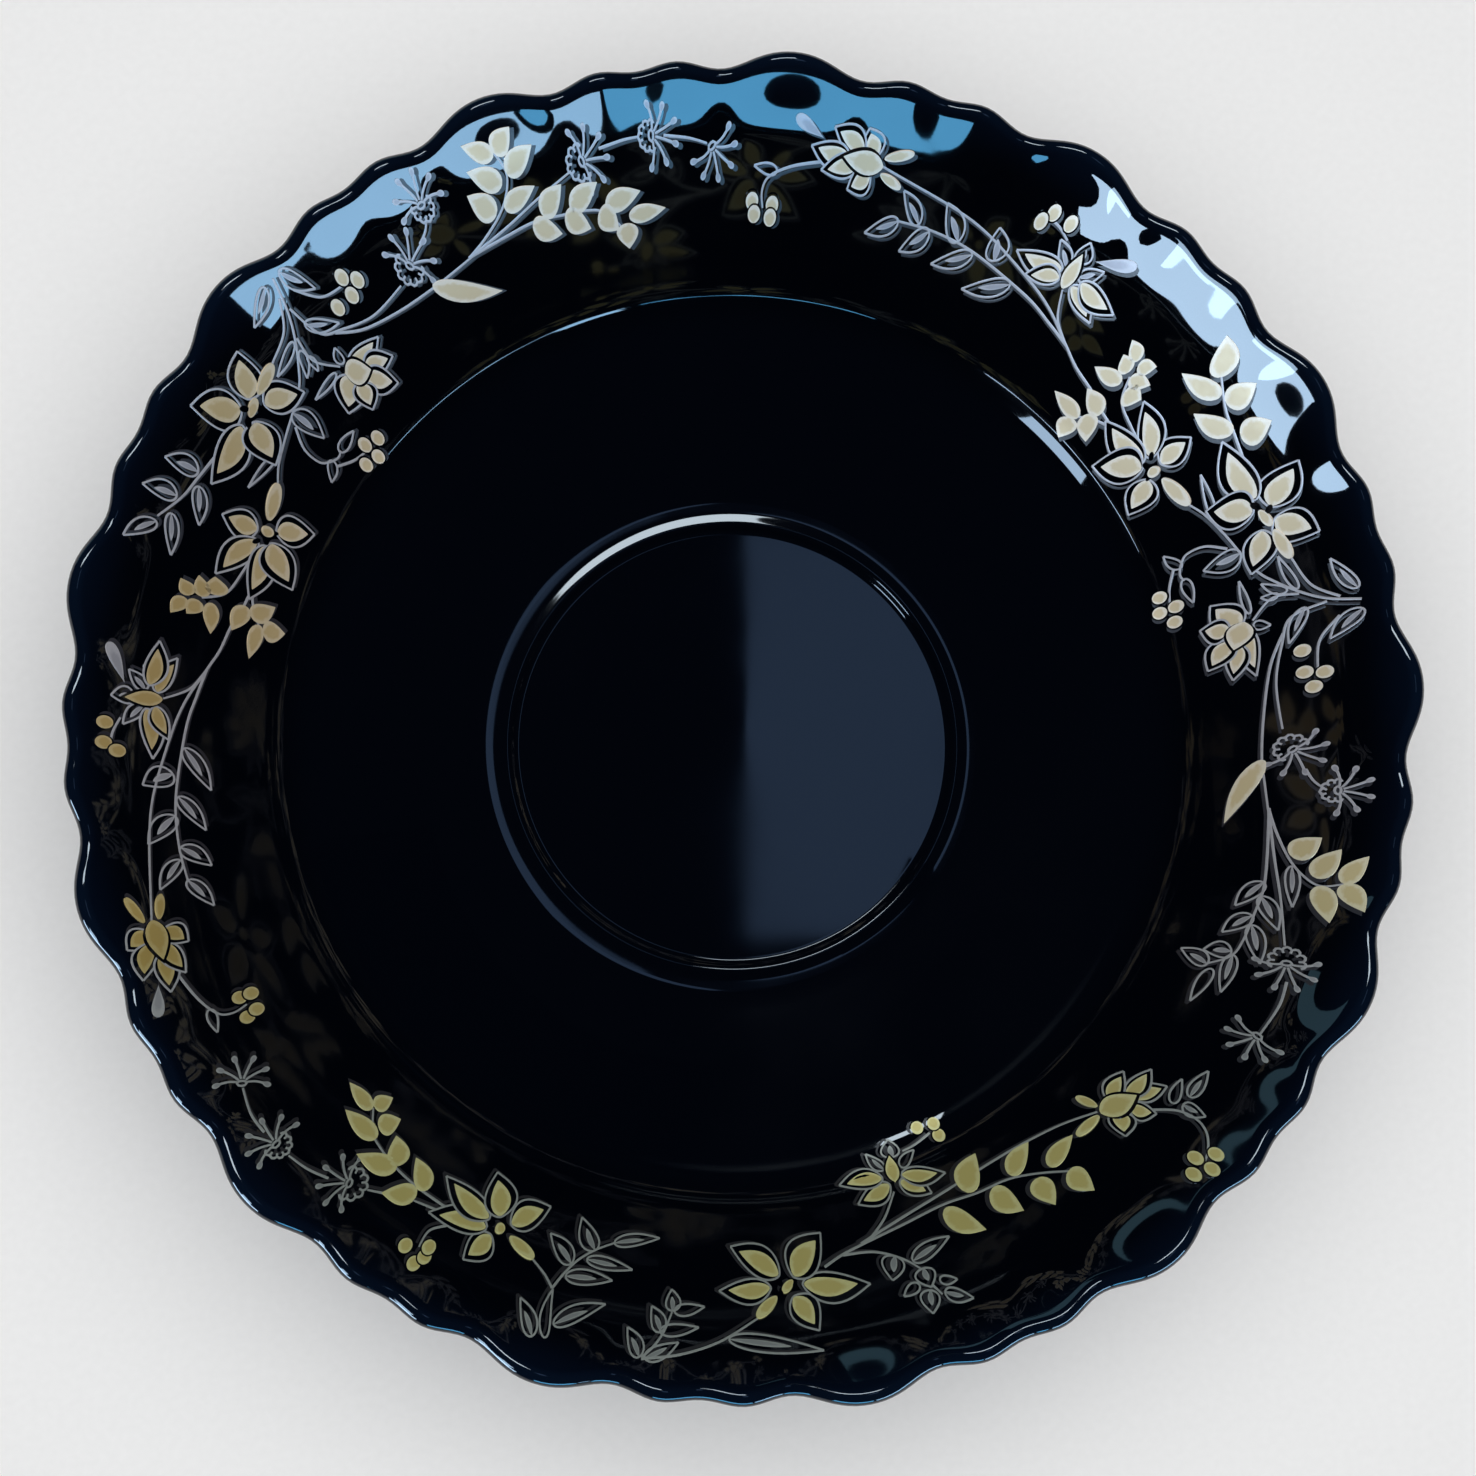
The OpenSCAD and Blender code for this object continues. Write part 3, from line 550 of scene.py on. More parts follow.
def seed_head(spray, q, layer=6):
    """A seed head [angle, radius, heading, ring width]; heading 90 points outwards."""
    centre = plan(*q[:2])
    out = centre / np.hypot(*centre)
    back = np.array([out[1], -out[0]])

    def at(forward, sideways):
        h = math.radians(q[2])
        way = back * math.cos(h) + out * math.sin(h)
        return centre + (way * forward + np.array([-way[1], way[0]]) * sideways) * MM

    ring = max(q[3], 2.4) * 0.6
    bumps = 7
    if q[3] > 2:
        turns = np.radians(np.linspace(60, 300, 8 * bumps + 1))
        lift = [ring * (1 + 0.2 * abs(math.sin(math.pi * k / 8))) for k in range(len(turns))]
        wire(spray["silver"], np.array([at(s * math.cos(t) - 0.3, s * math.sin(t))
                                        for s, t in zip(lift, turns)]), 0.42, layer)
        for k in range(1, bumps):
            t = turns[8 * k]
            wire(spray["silver"], np.array([at(s * math.cos(t) - 0.3, s * math.sin(t))
                                            for s in (ring, ring * 0.72)]), 0.36, layer)
    eye = np.radians(np.linspace(0, 360, 13))
    wire(spray["silver"], np.array([at(0.45 * math.cos(t), 0.75 * math.sin(t))
                                    for t in eye]), 0.4, layer)
    for k in range(6):
        lean = math.radians(27 * (k - 2.5))
        swing = math.radians(10 * (k - 2.5))
        reach = (4.6 - 0.25 * abs(k - 2.5)) * (0.85 + 0.04 * q[3])
        stem = [at(s * math.cos(lean + swing * s / reach),
                   s * math.sin(lean + swing * s / reach)) for s in (0.8, 2.0, 3.2, reach)]
        wire(spray["silver"], np.array(stem), 0.36, layer, 1.2)
        end, way = stem[-1], (stem[-1] - stem[-2]) / np.hypot(*(stem[-1] - stem[-2]))
        plate(spray["silver"], end - way * 0.5 * MM, end + way * 1.0 * MM, 0.95,
              layer, (0.8, 0.5))


def berries(spray, places, size=2.5, layer=6):
    """Round gold berries, each over the one before."""
    for k, q in enumerate(places):
        place = plan(*q)
        way = place / np.hypot(*place) * size / 2 * MM
        rim = way * (size + 0.5) / size
        plate(spray["gap"], place - rim, place + rim, size + 0.5, layer + 2*k, ROUND)
        plate(spray["gold"], place - way, place + way, size, layer + 2*k + 1, ROUND)

# %% [markdown]
# ## The drawings
# The right-hand spray is the large one. The left-hand spray is the same transfer carried
# round the bowl, a little further out and with its last sprigs laid differently. The two
# lower sprays are smaller. Each leaf or petal is [angle, radius, angle, radius, width];
# each seed head is [angle, radius, heading, ring width]. The places were read on a grid of
# angles and radii, to a tenth. They are the places of the CAD prints, but for the tail
# leaf of the large spray, which is two leaves in the CAD, and the dark marks in the flower
# centres, which are drawn only here.

# %% The large spray
LARGE = {
    "flowers": [
        {
         "petals": [
            [22.7, 106.2, 25.3, 112.1, 6.2], [21.5, 106.2, 18.8, 111.1, 5.6],
            [24, 104.8, 30.4, 104.4, 4.8], [22.9, 103.6, 25.2, 97.8, 6.2],
            [20.9, 103.9, 17.3, 100.4, 4.8]],
         "bars": [
            [20.5, 105.5, 17.1, 106.4, 1.9], [22.9, 104.6, 20.9, 105.4, 1.4]],
         "blobs": [
            [23.9, 103.9, 23, 104.7, 1], [22.9, 106.4, 22.2, 105.5, 1],
            [21.9, 103.7, 21.2, 104.6, 0.9]]},
        {
         "petals": [
            [32.7, 95, 33.1, 100.5, 5.2], [33.8, 94.4, 39, 98.2, 4.2],
            [34, 93, 40.2, 92.3, 4.2], [33.4, 92.3, 37.2, 86.6, 5.8], [32, 92.2, 29.9, 87, 5.2]],
         "bars": [
            [31.2, 94.1, 26.9, 95.6, 2.2], [33, 93.6, 31.8, 93.4, 2]],
         "blobs": [
            [34.4, 94.9, 33.6, 94.1, 0.8], [33.9, 92.9, 33, 93.1, 0.8],
            [32, 91.8, 32.2, 92.7, 0.7]]},
        {
         "petals": [
            [55.2, 104.8, 59.9, 103.7, 3.4], [54.9, 103.6, 58, 101.4, 3],
            [53.5, 103.6, 49.8, 101.2, 3], [52.9, 104.8, 48.5, 104.2, 3.4]],
         "crowns": [
            [54.1, 102.6, 54.4, 108.4, 2.8]]},
        {
         "petals": [
            [12.2, 96.8, 15, 93, 5], [11.4, 97.5, 6.5, 97.5, 3.2], [10.2, 95.4, 6.4, 94, 3.6],
            [10.6, 94.8, 8, 90.6, 4.4], [11.8, 94.8, 12.7, 90.6, 4.4]],
         "crowns": [
            [12.3, 97.2, 9.5, 94.8, 4.2]]},
        {
         "petals": [
            [77, 108.6, 78.2, 112, 4.4], [78.2, 108.8, 81.3, 111.4, 3.8],
            [79.6, 107.8, 83.2, 108.5, 3.6], [78.6, 106.6, 81.9, 105.4, 3.4],
            [77.2, 106.2, 79, 103.4, 4]],
         "crowns": [
            [76.1, 107.5, 80.2, 107.8, 3.4]],
         "bars": [
            [76.2, 108.7, 73.5, 110.5, 1.5], [76.2, 106.4, 73.8, 105.2, 1.4]]}],
    "gold_leaves": [
        [43, 101.8, 45, 103.4, 2.1], [42.6, 101.2, 41.2, 103.3, 2.3],
        [42.9, 99.4, 44.6, 101, 2.3], [42.3, 99.2, 40.2, 100.8, 2.3],
        [42.6, 97.8, 46, 96.7, 2.2], [41.6, 97.2, 39.7, 98.4, 3.2],
        [41.6, 92.3, 44.9, 93.6, 2.6], [43.2, 89.5, 47.6, 89.9, 2.1],
        [42.8, 90.8, 40.4, 87.8, 3], [44, 88.6, 43.2, 85, 3.4], [-3.2, 98, -10.6, 92.9, 2.8],
        [-13.4, 104, -11.1, 107.8, 3.6],
        [-15.1, 107.9, -12, 110.9, 3.2], [-15.8, 108.8, -19.1, 111.7, 3.2],
        [-15.2, 112, -12.4, 114.8, 2.8], [-15.3, 112, -17.5, 115.9, 3.2]],
    "berries": [
        [5.3, 107.6], [4, 105.8], [5.6, 104.7], [7.8, 104.8], [57, 110.9], [58.9, 111],
        [59.6, 109], [16.6, 87.7], [14.8, 86.8], [16.5, 84.8], [18.4, 85.6], [89, 99.9],
        [86.8, 99.5], [88.7, 98], [86.9, 97.6]],
    "silver_leaves": [
        [54.2, 106.8, 54.4, 110.2, 3.4], [54.9, 105.2, 57, 108.2, 2.6],
        [53.4, 105.2, 51.6, 108, 2.6], [12.4, 114.2, 15.8, 111.6, 2.4],
        [10.4, 114.2, 8.4, 109, 3], [14, 106, 17.8, 104.6, 1.6], [12, 106.4, 8.8, 103, 2.4],
        [14.1, 104.4, 15.7, 101, 1.8], [14, 103, 14.3, 100.4, 1.6],
        [11.8, 98.4, 11.2, 100.9, 2], [13, 98.2, 16.8, 98, 1.4], [24, 98, 29.2, 99.2, 1.5],
        [19.6, 99.6, 19.4, 93.4, 4], [19.4, 90.2, 16.3, 90.4, 2], [20.8, 90.4, 23, 88.5, 2],
        [61.8, 100.6, 62.9, 105.3, 4.2], [66.2, 100.8, 68.8, 105.4, 3.6],
        [70.8, 101, 73.4, 105, 2.8], [59, 98.8, 63.6, 94.7, 3], [64.2, 100, 68, 96.2, 2.8],
        [69.5, 100.6, 71.9, 96.3, 3.2], [73, 100.5, 76.2, 97.5, 2.8],
        [86.6, 104.3, 89, 105, 1.9]],
    "drops": [
        [53, 108.4, 49.4, 111.4, 2], [82.4, 109.8, 85.3, 112.4, 2]],
    "stems": [
        [[12.1, 111.6], [14, 108], [17.1, 106.4]],
        [[11.3, 114.3], [12.2, 110], [13.5, 106.5], [15.5, 103], [17.4, 100.8], [22, 98.5],
         [25, 97], [27, 95.5]],
        [[12, 109.6], [11.4, 104], [9, 102], [5, 100.3], [0, 100.8]],
        [[10.4, 111], [8.5, 107.5], [5.6, 106.6]], [[13.5, 106], [13.9, 102], [12.2, 98.4]],
        [[10, 102.4], [7, 99.8], [2, 98.1], [-3, 97.7], [-6, 98.4], [-10, 99.8]],
        [[20.6, 98], [21.9, 95], [22, 92], [21.2, 90.6], [20, 89.8], [19.2, 90.2]],
        [[21, 89.2], [19, 87.5], [16.4, 86.6]],
        [[28, 105.7], [31, 106.5], [33.5, 107.4], [36.3, 109.6]],
        [[42.4, 99.4], [41, 96], [38, 94.6], [36, 94.2]],
        [[39.6, 92.3], [42, 92.8], [44.5, 93.8], [47.5, 94.7], [50, 96.2], [54, 99],
         [58, 101], [64, 103.8], [69, 105.3], [76.2, 107.5]],
        [[40, 92], [42, 90.8], [43.8, 89]],
        [[50, 96.2], [53, 97.2], [57, 98.6], [64, 100.3], [69, 100.8], [73.2, 100.5]],
        [[50.5, 96.5], [52.6, 98.6], [54, 102.4]], [[59.2, 110], [57.8, 109.6], [56.4, 108.6]],
        [[81.8, 106.6], [85, 105.3], [87.3, 103.6], [88, 101.4], [87.8, 98.8]],
        [[-8.5, 99.3], [-11, 101], [-13.5, 103.5], [-15, 106], [-15.8, 109], [-15.2, 112.4]],
        [[-9, 99.5], [-14, 101.6], [-18, 104], [-22.3, 106.7]],
        [[-8.5, 99.4], [-13, 100.2], [-17, 101], [-20, 100.8], [-23, 100.6], [-25, 99.8], [-26.6, 97]],
        [[-4.3, 104.3], [-5.5, 105.6], [-6.4, 107.6]]],
    "heads": [
        [-2.2, 102.3, 40, 3.6], [-6.4, 109.2, 95, 3]]}

# %% What is drawn only on the right, and only on the left
RIGHT = {
    "gold_leaves": [
        [30.4, 107.1, 30, 112, 4.4], [33.9, 107.9, 33.7, 113, 4.2],
        [36.2, 109.4, 38.9, 113.6, 3.8], [34.7, 107.8, 39, 105.4, 2.6],
        [31, 106.2, 35, 103.2, 2.8]],
    "silver_leaves": [
        [-14.3, 104.3, -18.4, 105.9, 2.4], [-18, 101, -21, 105, 3],
        [-21.2, 101, -24.8, 104.3, 3], [-24.8, 100, -29, 100.8, 2.6],
        [-27, 98, -31.2, 97.3, 2.2], [-26.7, 97, -26, 92.2, 3.2],
        [-24.5, 99.6, -25.3, 95.5, 3.4], [-20.2, 100.6, -22.8, 97.1, 3],
        [-16.5, 100.8, -19.6, 97.6, 3]],
    "stems": [
        [[-25.6, 109], [-28, 109.5], [-31.2, 109]]],
    "heads": [
        [-23.9, 107.9, 15, 3.8], [-31.5, 108.8, -20, 1.6]]}
LEFT = {
    "gold_leaves": [
        [115, 105.4, 111.4, 107, 2.6], [111.5, 102.4, 108.8, 106, 3.2],
        [108.5, 102, 105.2, 104.9, 3], [104.8, 101.2, 100.9, 102.4, 2.8],
        [102.5, 98.9, 98.4, 99.4, 2.2], [102.7, 98, 103, 94.2, 3.6],
        [105.4, 101, 103.8, 97.3, 3.4], [109.2, 101.6, 106.8, 98.5, 3.2],
        [112.8, 101.8, 110, 99, 3]],
    "silver_leaves": [
        [155.8, 108.8, 156.2, 114, 3.8], [158.8, 110.2, 159.3, 115.4, 3.6],
        [161.8, 111.6, 164.2, 115.4, 2.8], [160.5, 110, 164.2, 108, 2.4],
        [157, 107.8, 160.4, 105.5, 2.6]],
    "stems": [
        [[104.4, 109.5], [102, 110], [100.4, 110.1]],
        [[98, 109.8], [95.6, 109.1], [93.8, 108.2]]],
    "heads": [
        [106.3, 108.3, 15, 3.6], [99.2, 110, 0, 3], [93.3, 107.8, -55, 1.6]]}

# %% The two lower sprays
LOWER_LEFT = {
    "flowers": [
        {
         "petals": [
            [243.9, 102.8, 242.6, 107.9, 4.8], [243.2, 102.1, 237.8, 104.4, 4.4],
            [243, 100.6, 237.3, 98.2, 4.4], [243.9, 99.6, 241.6, 93.5, 5.6],
            [245.2, 99.9, 248.2, 94.9, 5]],
         "bars": [
            [245.6, 101.8, 248.7, 103.5, 2], [244.9, 101.4, 243.9, 101.1, 1.8]],
         "blobs": [
            [244.8, 100.4, 244.2, 101.2, 0.9], [243.4, 100.6, 243.6, 101.4, 0.9],
            [243.2, 102.3, 243.9, 101.8, 0.8]]}],
    "gold_leaves": [
        [235.4, 103, 232.6, 106.4, 3.2], [232.3, 101.9, 228.3, 104.2, 3.2],
        [236, 101.9, 233.1, 98.4, 3], [232.2, 101.4, 230, 97.6, 3.4],
        [228.7, 100.2, 224.3, 100.3, 2.8], [227.9, 98.4, 229.2, 95, 3.4],
        [226.2, 97.2, 222.4, 96.7, 2.2], [226, 96.4, 226.9, 93.2, 2.8]],
    "berries": [
        [238.8, 112.6], [237.3, 111], [239.3, 110.9], [239.2, 109.3]],
    "silver_leaves": [
        [252.4, 112.2, 256.6, 107, 3], [250.9, 115, 248.8, 110, 3],
        [252, 114.6, 251.4, 107, 2.2], [252.2, 104.4, 256.8, 103.1, 2.8],
        [253.8, 100.8, 258.6, 100.7, 2.4], [256.2, 97, 261, 94.7, 2.4],
        [252.4, 102.2, 249.4, 98.6, 3.4], [254.4, 99, 252.1, 94.3, 3.6]],
    "stems": [
        [[251.3, 106.9], [250.2, 105.2], [248.6, 103.6]],
        [[251.3, 106.9], [252, 104], [253, 101.2], [254.5, 98.8], [256.2, 97]],
        [[239.6, 102.5], [235, 102.2], [232, 101.7], [229.5, 100.8], [228, 99.8], [226.2, 96.8]],
        [[238.8, 103.3], [235.3, 104.4]], [[239.6, 104.8], [238.4, 107], [238.4, 110]],
        [[232.8, 106.2], [231.4, 107.4]], [[228, 110], [226, 111.2], [224, 111.8]],
        [[221, 112.2], [219, 112], [216.6, 110.6]]],
    "heads": [
        [229.7, 108.4, 25, 4], [222.5, 112, 10, 3.2], [216.2, 110.3, -35, 1.6]]}
LOWER_RIGHT = {
    "flowers": [
        {
         "petals": [
            [274.9, 103.7, 276.7, 109, 5.2], [276, 101.9, 282.2, 103.5, 4.8],
            [275.2, 100.6, 278.7, 94.4, 6], [273.8, 100.2, 269.2, 95.5, 5],
            [272.8, 102.1, 267.9, 102.5, 4]],
         "bars": [
            [273.3, 103.6, 271.1, 106.7, 1.9], [275.1, 101.2, 273.9, 102.9, 1.4]],
         "blobs": [
            [275.2, 101.1, 274.7, 101.9, 1], [273.5, 101, 274, 101.8, 0.9],
            [273.6, 102.8, 274.2, 102.3, 0.9]]},
        {
         "petals": [
            [288.5, 88.8, 284.4, 90.4, 3.6], [288, 87.4, 283, 86.6, 3.6],
            [289.7, 89, 292.3, 92.5, 3.8], [290.2, 88, 294.7, 90.4, 3.4]],
         "crowns": [
            [289.2, 88.8, 289.8, 84, 2.6]]},
        {
         "petals": [
            [314.4, 98.8, 313, 102.2, 4.2], [315.4, 99.8, 316.6, 103.2, 3.4],
            [316.6, 99.6, 319.4, 101.8, 3.2], [316.2, 98.2, 319.9, 98.4, 3.2],
            [314.6, 97, 318, 95.4, 3.4]],
         "crowns": [
            [313, 97.2, 317, 99.4, 4]],
         "bars": [
            [312.7, 97.3, 309.4, 97.3, 1.6], [313.4, 96, 312.5, 92.6, 1.7]]}],
    "gold_leaves": [
        [292.6, 96.3, 295.7, 101.8, 3.6], [298.3, 96.6, 300, 102, 4],
        [303.2, 98.8, 302.9, 103.9, 3.8], [306.3, 100.7, 306.8, 105.6, 3.8],
        [304.9, 98.3, 309.2, 96.7, 2.4], [301, 96, 305, 93.2, 2.8],
        [295.8, 94.8, 299.3, 90, 3.8]],
    "berries": [
        [317, 114], [315.7, 115], [314.3, 113.6], [315.6, 112.2], [296.7, 84.2], [296.8, 81.8],
        [294.6, 81.1]],
    "silver_leaves": [
        [260.4, 114, 259, 109.8, 3], [260.9, 114, 263.8, 111, 2.6],
        [262, 109.6, 265.6, 108.4, 2.2], [262.1, 109.7, 261, 105.9, 3],
        [263.2, 106.2, 266.1, 105.1, 2.2], [263, 106.2, 262.8, 102.8, 3],
        [268.4, 110, 276.9, 112.5, 3], [289.2, 108.2, 291.4, 110.6, 2.6],
        [289.2, 106.2, 290.8, 107, 1.8], [287.2, 105.8, 285.4, 106.9, 2],
        [287.5, 102, 292, 100.3, 2.8], [290.2, 84.4, 290.4, 81, 3.8],
        [288.6, 86, 287, 82.2, 2.4], [290.6, 86.6, 293, 84.6, 2.2],
        [319, 105.6, 319.3, 109.3, 2.8], [320, 105.6, 323.2, 105.5, 2.4],
        [318.5, 104.2, 321.1, 103, 2], [286, 100.4, 284.9, 104, 4.2],
        [288.2, 103.6, 288.2, 106.8, 4], [288, 107.2, 287.4, 110.7, 3.6]],
    "stems": [
        [[260.6, 114.2], [264, 112.8], [267.6, 110.4], [271.2, 106.8]],
        [[260.6, 114], [261.6, 112], [262.4, 109.5], [263, 106.4]],
        [[278.6, 99.6], [280.6, 98.2], [283, 97.2], [288, 95.9], [293, 95.2], [297, 95.9],
         [300.5, 96.4], [303.5, 98.2], [306.2, 100.8]],
        [[280.8, 98.2], [284, 98.8], [286.5, 101], [288, 103.6]],
        [[288.4, 106.6], [288.9, 108.4]],
        [[283, 97], [289, 94.5], [294, 93.3], [300, 92.6], [304.5, 92.9], [309, 94.2], [312.9, 96.6]],
        [[284.3, 96.4], [286.5, 93.8], [288.6, 90.2]],
        [[295.8, 83], [293.4, 83.8], [291.6, 84]],
        [[316.8, 102.6], [318.2, 105.5], [318.6, 108.5], [318.1, 111], [316.8, 112.8],
         [315.6, 113.6]]]}

# %% Carrying the large spray round to the left
SHIFT_AT = [-25, -15, -2, 5, 11.5, 33, 54, 77.5, 88]
SHIFT_BY = [130, 129.4, 128.4, 127.2, 126.2, 125.2, 124, 123, 122]       # degrees round
OUT_AT = [-25, -15, -2, 5, 22, 33, 54, 77.5, 88]
OUT_BY = [0.5, 1.2, 2.6, 2, 1.6, 2, 2.8, 4, 4.2]                # mm outwards


def carry(q):
    """A mark of the large spray at its place in the left-hand spray."""
    pairs = 2 if len(q) == 5 else 1
    moved = list(q)
    for k in range(0, 2 * pairs, 2):
        moved[k] = q[k] + np.interp(q[k], SHIFT_AT, SHIFT_BY)
        moved[k + 1] = min(q[k + 1] + np.interp(q[k], OUT_AT, OUT_BY), 116)
    return moved


def carry_all(drawing):
    """Every mark of a drawing, carried round."""
    if isinstance(drawing, dict):
        return {kind: carry_all(marks) for kind, marks in drawing.items()}
    if isinstance(drawing[0], (int, float)):
        return carry(drawing)
    return [carry_all(mark) for mark in drawing]


# %% [markdown]
# ## Drawing a spray
# Stems go down first, then leaves, berries and seed heads, then each flower, petal by
# petal, with its crown, its dark centre marks and the narrow petals last.

# %% Draw the four sprays
STEMS, LEAVES, FILLED, PETALS = 5, 6, 7, 8      # layers, from the glass upwards
PETAL_LAYERS, CROWNS, MARKS, BARS = 3, 26, 28, 29
CROWN_EDGE = 0.7        # how much wider the dark gap is than the crown on it, mm
LEAF_GIRTH = 1.2        # a gold leaf against its drawn width
GHOST_WIDTH = 1.3       # a line of the dark grey offset copy against the metal line


def draw(drawings, root):
    """The flat prints of one spray, from its drawings; root is its clock angle."""
    spray = {kind: sheet() for kind in ("silver", "gold", "gap", "ghost")}
    for part in drawings:
        for places in part.get("stems", []):
            wire(spray["silver"], np.array([plan(*p) for p in places]), STEM, STEMS, 0.7)
        for q in part.get("silver_leaves", []):
            silver_leaf(spray, q, LEAVES, curve_by_growth(q, root))
        for q in part.get("gold_leaves", []):
            plate(spray["gold"], plan(*q[:2]), plan(*q[2:4]), LEAF_GIRTH * q[4], FILLED,
                  GOLD_LEAF, curve_by_growth(q, root))
        for q in part.get("drops", []):
            plate(spray["silver"], plan(*q[:2]), plan(*q[2:4]), q[4], FILLED, DROP)
        for q in part.get("heads", []):
            seed_head(spray, q)
        berries(spray, part.get("berries", []))
        for flower in part.get("flowers", []):
            for k, q in enumerate(flower["petals"]):
                petal(spray, q, PETALS + PETAL_LAYERS * k, (0.05, -0.05)[k % 2])
            for q in flower.get("crowns", []):
                base, tip = plan(*q[:2]), plan(*q[2:4])
                plate(spray["gap"], base, tip + 0.1 * (tip - base), q[4] + CROWN_EDGE, CROWNS,
                      PETAL)
                plate(spray["gold"], base, tip, q[4], CROWNS + 1, PETAL)
            for q in flower.get("blobs", []):
                plate(spray["gap"], plan(*q[:2]), plan(*q[2:4]), q[4], MARKS, ROUND)
            for q in flower.get("bars", []):
                plate(spray["gold"], plan(*q[:2]), plan(*q[2:4]), q[4], BARS, (0.6, 0.5))
    return spray


def cast_ghost(spray, clockwise=0.75, inwards=0.35, layer=3):
    """A dark grey copy of the metals, a little to one side of them."""
    def moved(points):
        r = np.hypot(points[..., 0], points[..., 1])
        a = np.arctan2(points[..., 1], points[..., 0]) - clockwise * MM / r
        return np.stack([np.cos(a), np.sin(a)], -1) * (r - inwards * MM)[..., None]
    for kind in ("silver", "gold"):
        for points, halves, height in spray[kind]["wires"]:
            spray["ghost"]["wires"].append((moved(points), halves * GHOST_WIDTH, layer * STEP))
        for base, height, facts in spray[kind]["plates"]:
            spray["ghost"]["plates"].append((moved(base), layer * STEP, facts))


SPRAYS = {
    "right": draw([LARGE, RIGHT], 11),
    "left": draw([carry_all(LARGE), LEFT], 138),
    "lower_left": draw([LOWER_LEFT], 251),
    "lower_right": draw([LOWER_RIGHT], 268)}
for name, spray in SPRAYS.items():
    cast_ghost(spray)
    print(name, {kind: (len(s["wires"]), len(s["plates"])) for kind, s in spray.items()})

# %% [markdown]
# ## Laying the drawing on the glass
# The tree takes a flat drawing. Wires become curves through their points and get a very
# flat oval section as wide as the line. Plates start as one small unit leaf, placed on
# every base point and then widened, bent and turned by that point's own numbers. Last,
# every point drops straight down onto the bowl and stands off along the glass's normal
# by its own height, so the print lies on the wall however the scallops wave.

# %% The unit leaf
ALONG = (0.01, 0.04, 0.1, 0.18, 0.28, 0.38, 0.48, 0.58, 0.68, 0.78, 0.88, 0.95, 0.99)
ACROSS = (-1.0, -0.94, -0.5, 0.0, 0.5, 0.94, 1.0)


def unit_leaf():
    """A closed leaf: its top stands up inside a sunken edge, over a sunken underside."""
    loop = [(s, 0.0 if abs(s) == 1 else 1.0) for s in ACROSS]
    loop += [(s, 0.0) for s in ACROSS[-2:0:-1]]
    along, side, rise, faces = [0.0, 1.0], [0.0, 0.0], [0.0, 0.0], []
    for t in ALONG:
        for s, up in loop:
            along.append(t), side.append(s), rise.append(up)
    n, last = len(loop), 2 + len(loop) * (len(ALONG) - 1)
    for k in range(n):
        j = (k + 1) % n
        faces += [(0, 2 + j, 2 + k), (1, last + k, last + j)]
        faces += [(2 + n*i + k, 2 + n*i + j, 2 + n*(i + 1) + j, 2 + n*(i + 1) + k)
                  for i in range(len(ALONG) - 1)]
    return source_mesh("unit_leaf", [(0, 0, 0)] * len(along), [], {
        "along": along, "across": side, "rise": rise}, faces)


leaf = unit_leaf()
leaf.hide_render = True

# %% Print tree
FLATNESS = 0.12         # height of a line's oval section against its width
SIDES = 8
tree = new_tree("fired_print", {
    "Bowl": "Object", "Leaf": "Object", "Spacing": "Float", "Flatness": "Float",
    "Sink": "Float", "Metal": "Material"})
given = add(tree, "NodeGroupInput").outputs
facts = {label: add(tree, "GeometryNodeInputNamedAttribute", {"Name": label}).outputs[0]
         for label in ("half", "length", "aim", "girth", "base_belly", "tip_belly",
                       "bend", "along", "across", "rise")}
is_plate = add(tree, "FunctionNodeCompare", {0: facts["length"], 1: 0.0},
               operation="GREATER_THAN")
parted = add(tree, "GeometryNodeSeparateGeometry", {
    "Geometry": given["Geometry"], "Selection": is_plate.outputs[0]})
line = add(tree, "GeometryNodeMeshToCurve", {"Mesh": parted.outputs["Inverted"]})
line = add(tree, "GeometryNodeCurveSplineType", {"Curve": line.outputs[0]},
           spline_type="CATMULL_ROM")
line = add(tree, "GeometryNodeResampleCurve", {
    "Curve": line.outputs[0], "Length": given["Spacing"]}, mode="LENGTH")
line = add(tree, "GeometryNodeSetCurveNormal", {"Curve": line.outputs[0]}, mode="Z_UP")
oval = add(tree, "GeometryNodeCurvePrimitiveCircle", {"Resolution": SIDES, "Radius": 1.0})
stretch = add(tree, "ShaderNodeCombineXYZ", {"X": 1.0, "Y": given["Flatness"], "Z": 1.0})
oval = add(tree, "GeometryNodeTransform", {
    "Geometry": oval.outputs[0], "Scale": stretch.outputs[0]})
line = add(tree, "GeometryNodeCurveToMesh", {
    "Curve": line.outputs[0], "Profile Curve": oval.outputs[0], "Scale": facts["half"],
    "Fill Caps": True})
shape = add(tree, "GeometryNodeObjectInfo", {"Object": given["Leaf"]})
leaves = add(tree, "GeometryNodeInstanceOnPoints", {
    "Points": parted.outputs["Selection"], "Instance": shape.outputs["Geometry"]})
leaves = add(tree, "GeometryNodeRealizeInstances", {"Geometry": leaves.outputs[0]})
rest = add(tree, "ShaderNodeMath", {0: 1.0, 1: facts["along"]}, operation="SUBTRACT")
near = add(tree, "ShaderNodeMath", {0: facts["along"], 1: facts["base_belly"]},
           operation="POWER")
far = add(tree, "ShaderNodeMath", {0: rest.outputs[0], 1: facts["tip_belly"]},
          operation="POWER")
swell = add(tree, "ShaderNodeMath", {0: near.outputs[0], 1: far.outputs[0]},
            operation="MULTIPLY")
swell = add(tree, "ShaderNodeMath", {0: swell.outputs[0], 1: facts["girth"]},
            operation="MULTIPLY")
half_turn = add(tree, "ShaderNodeMath", {0: facts["along"], 1: math.pi},
                operation="MULTIPLY")
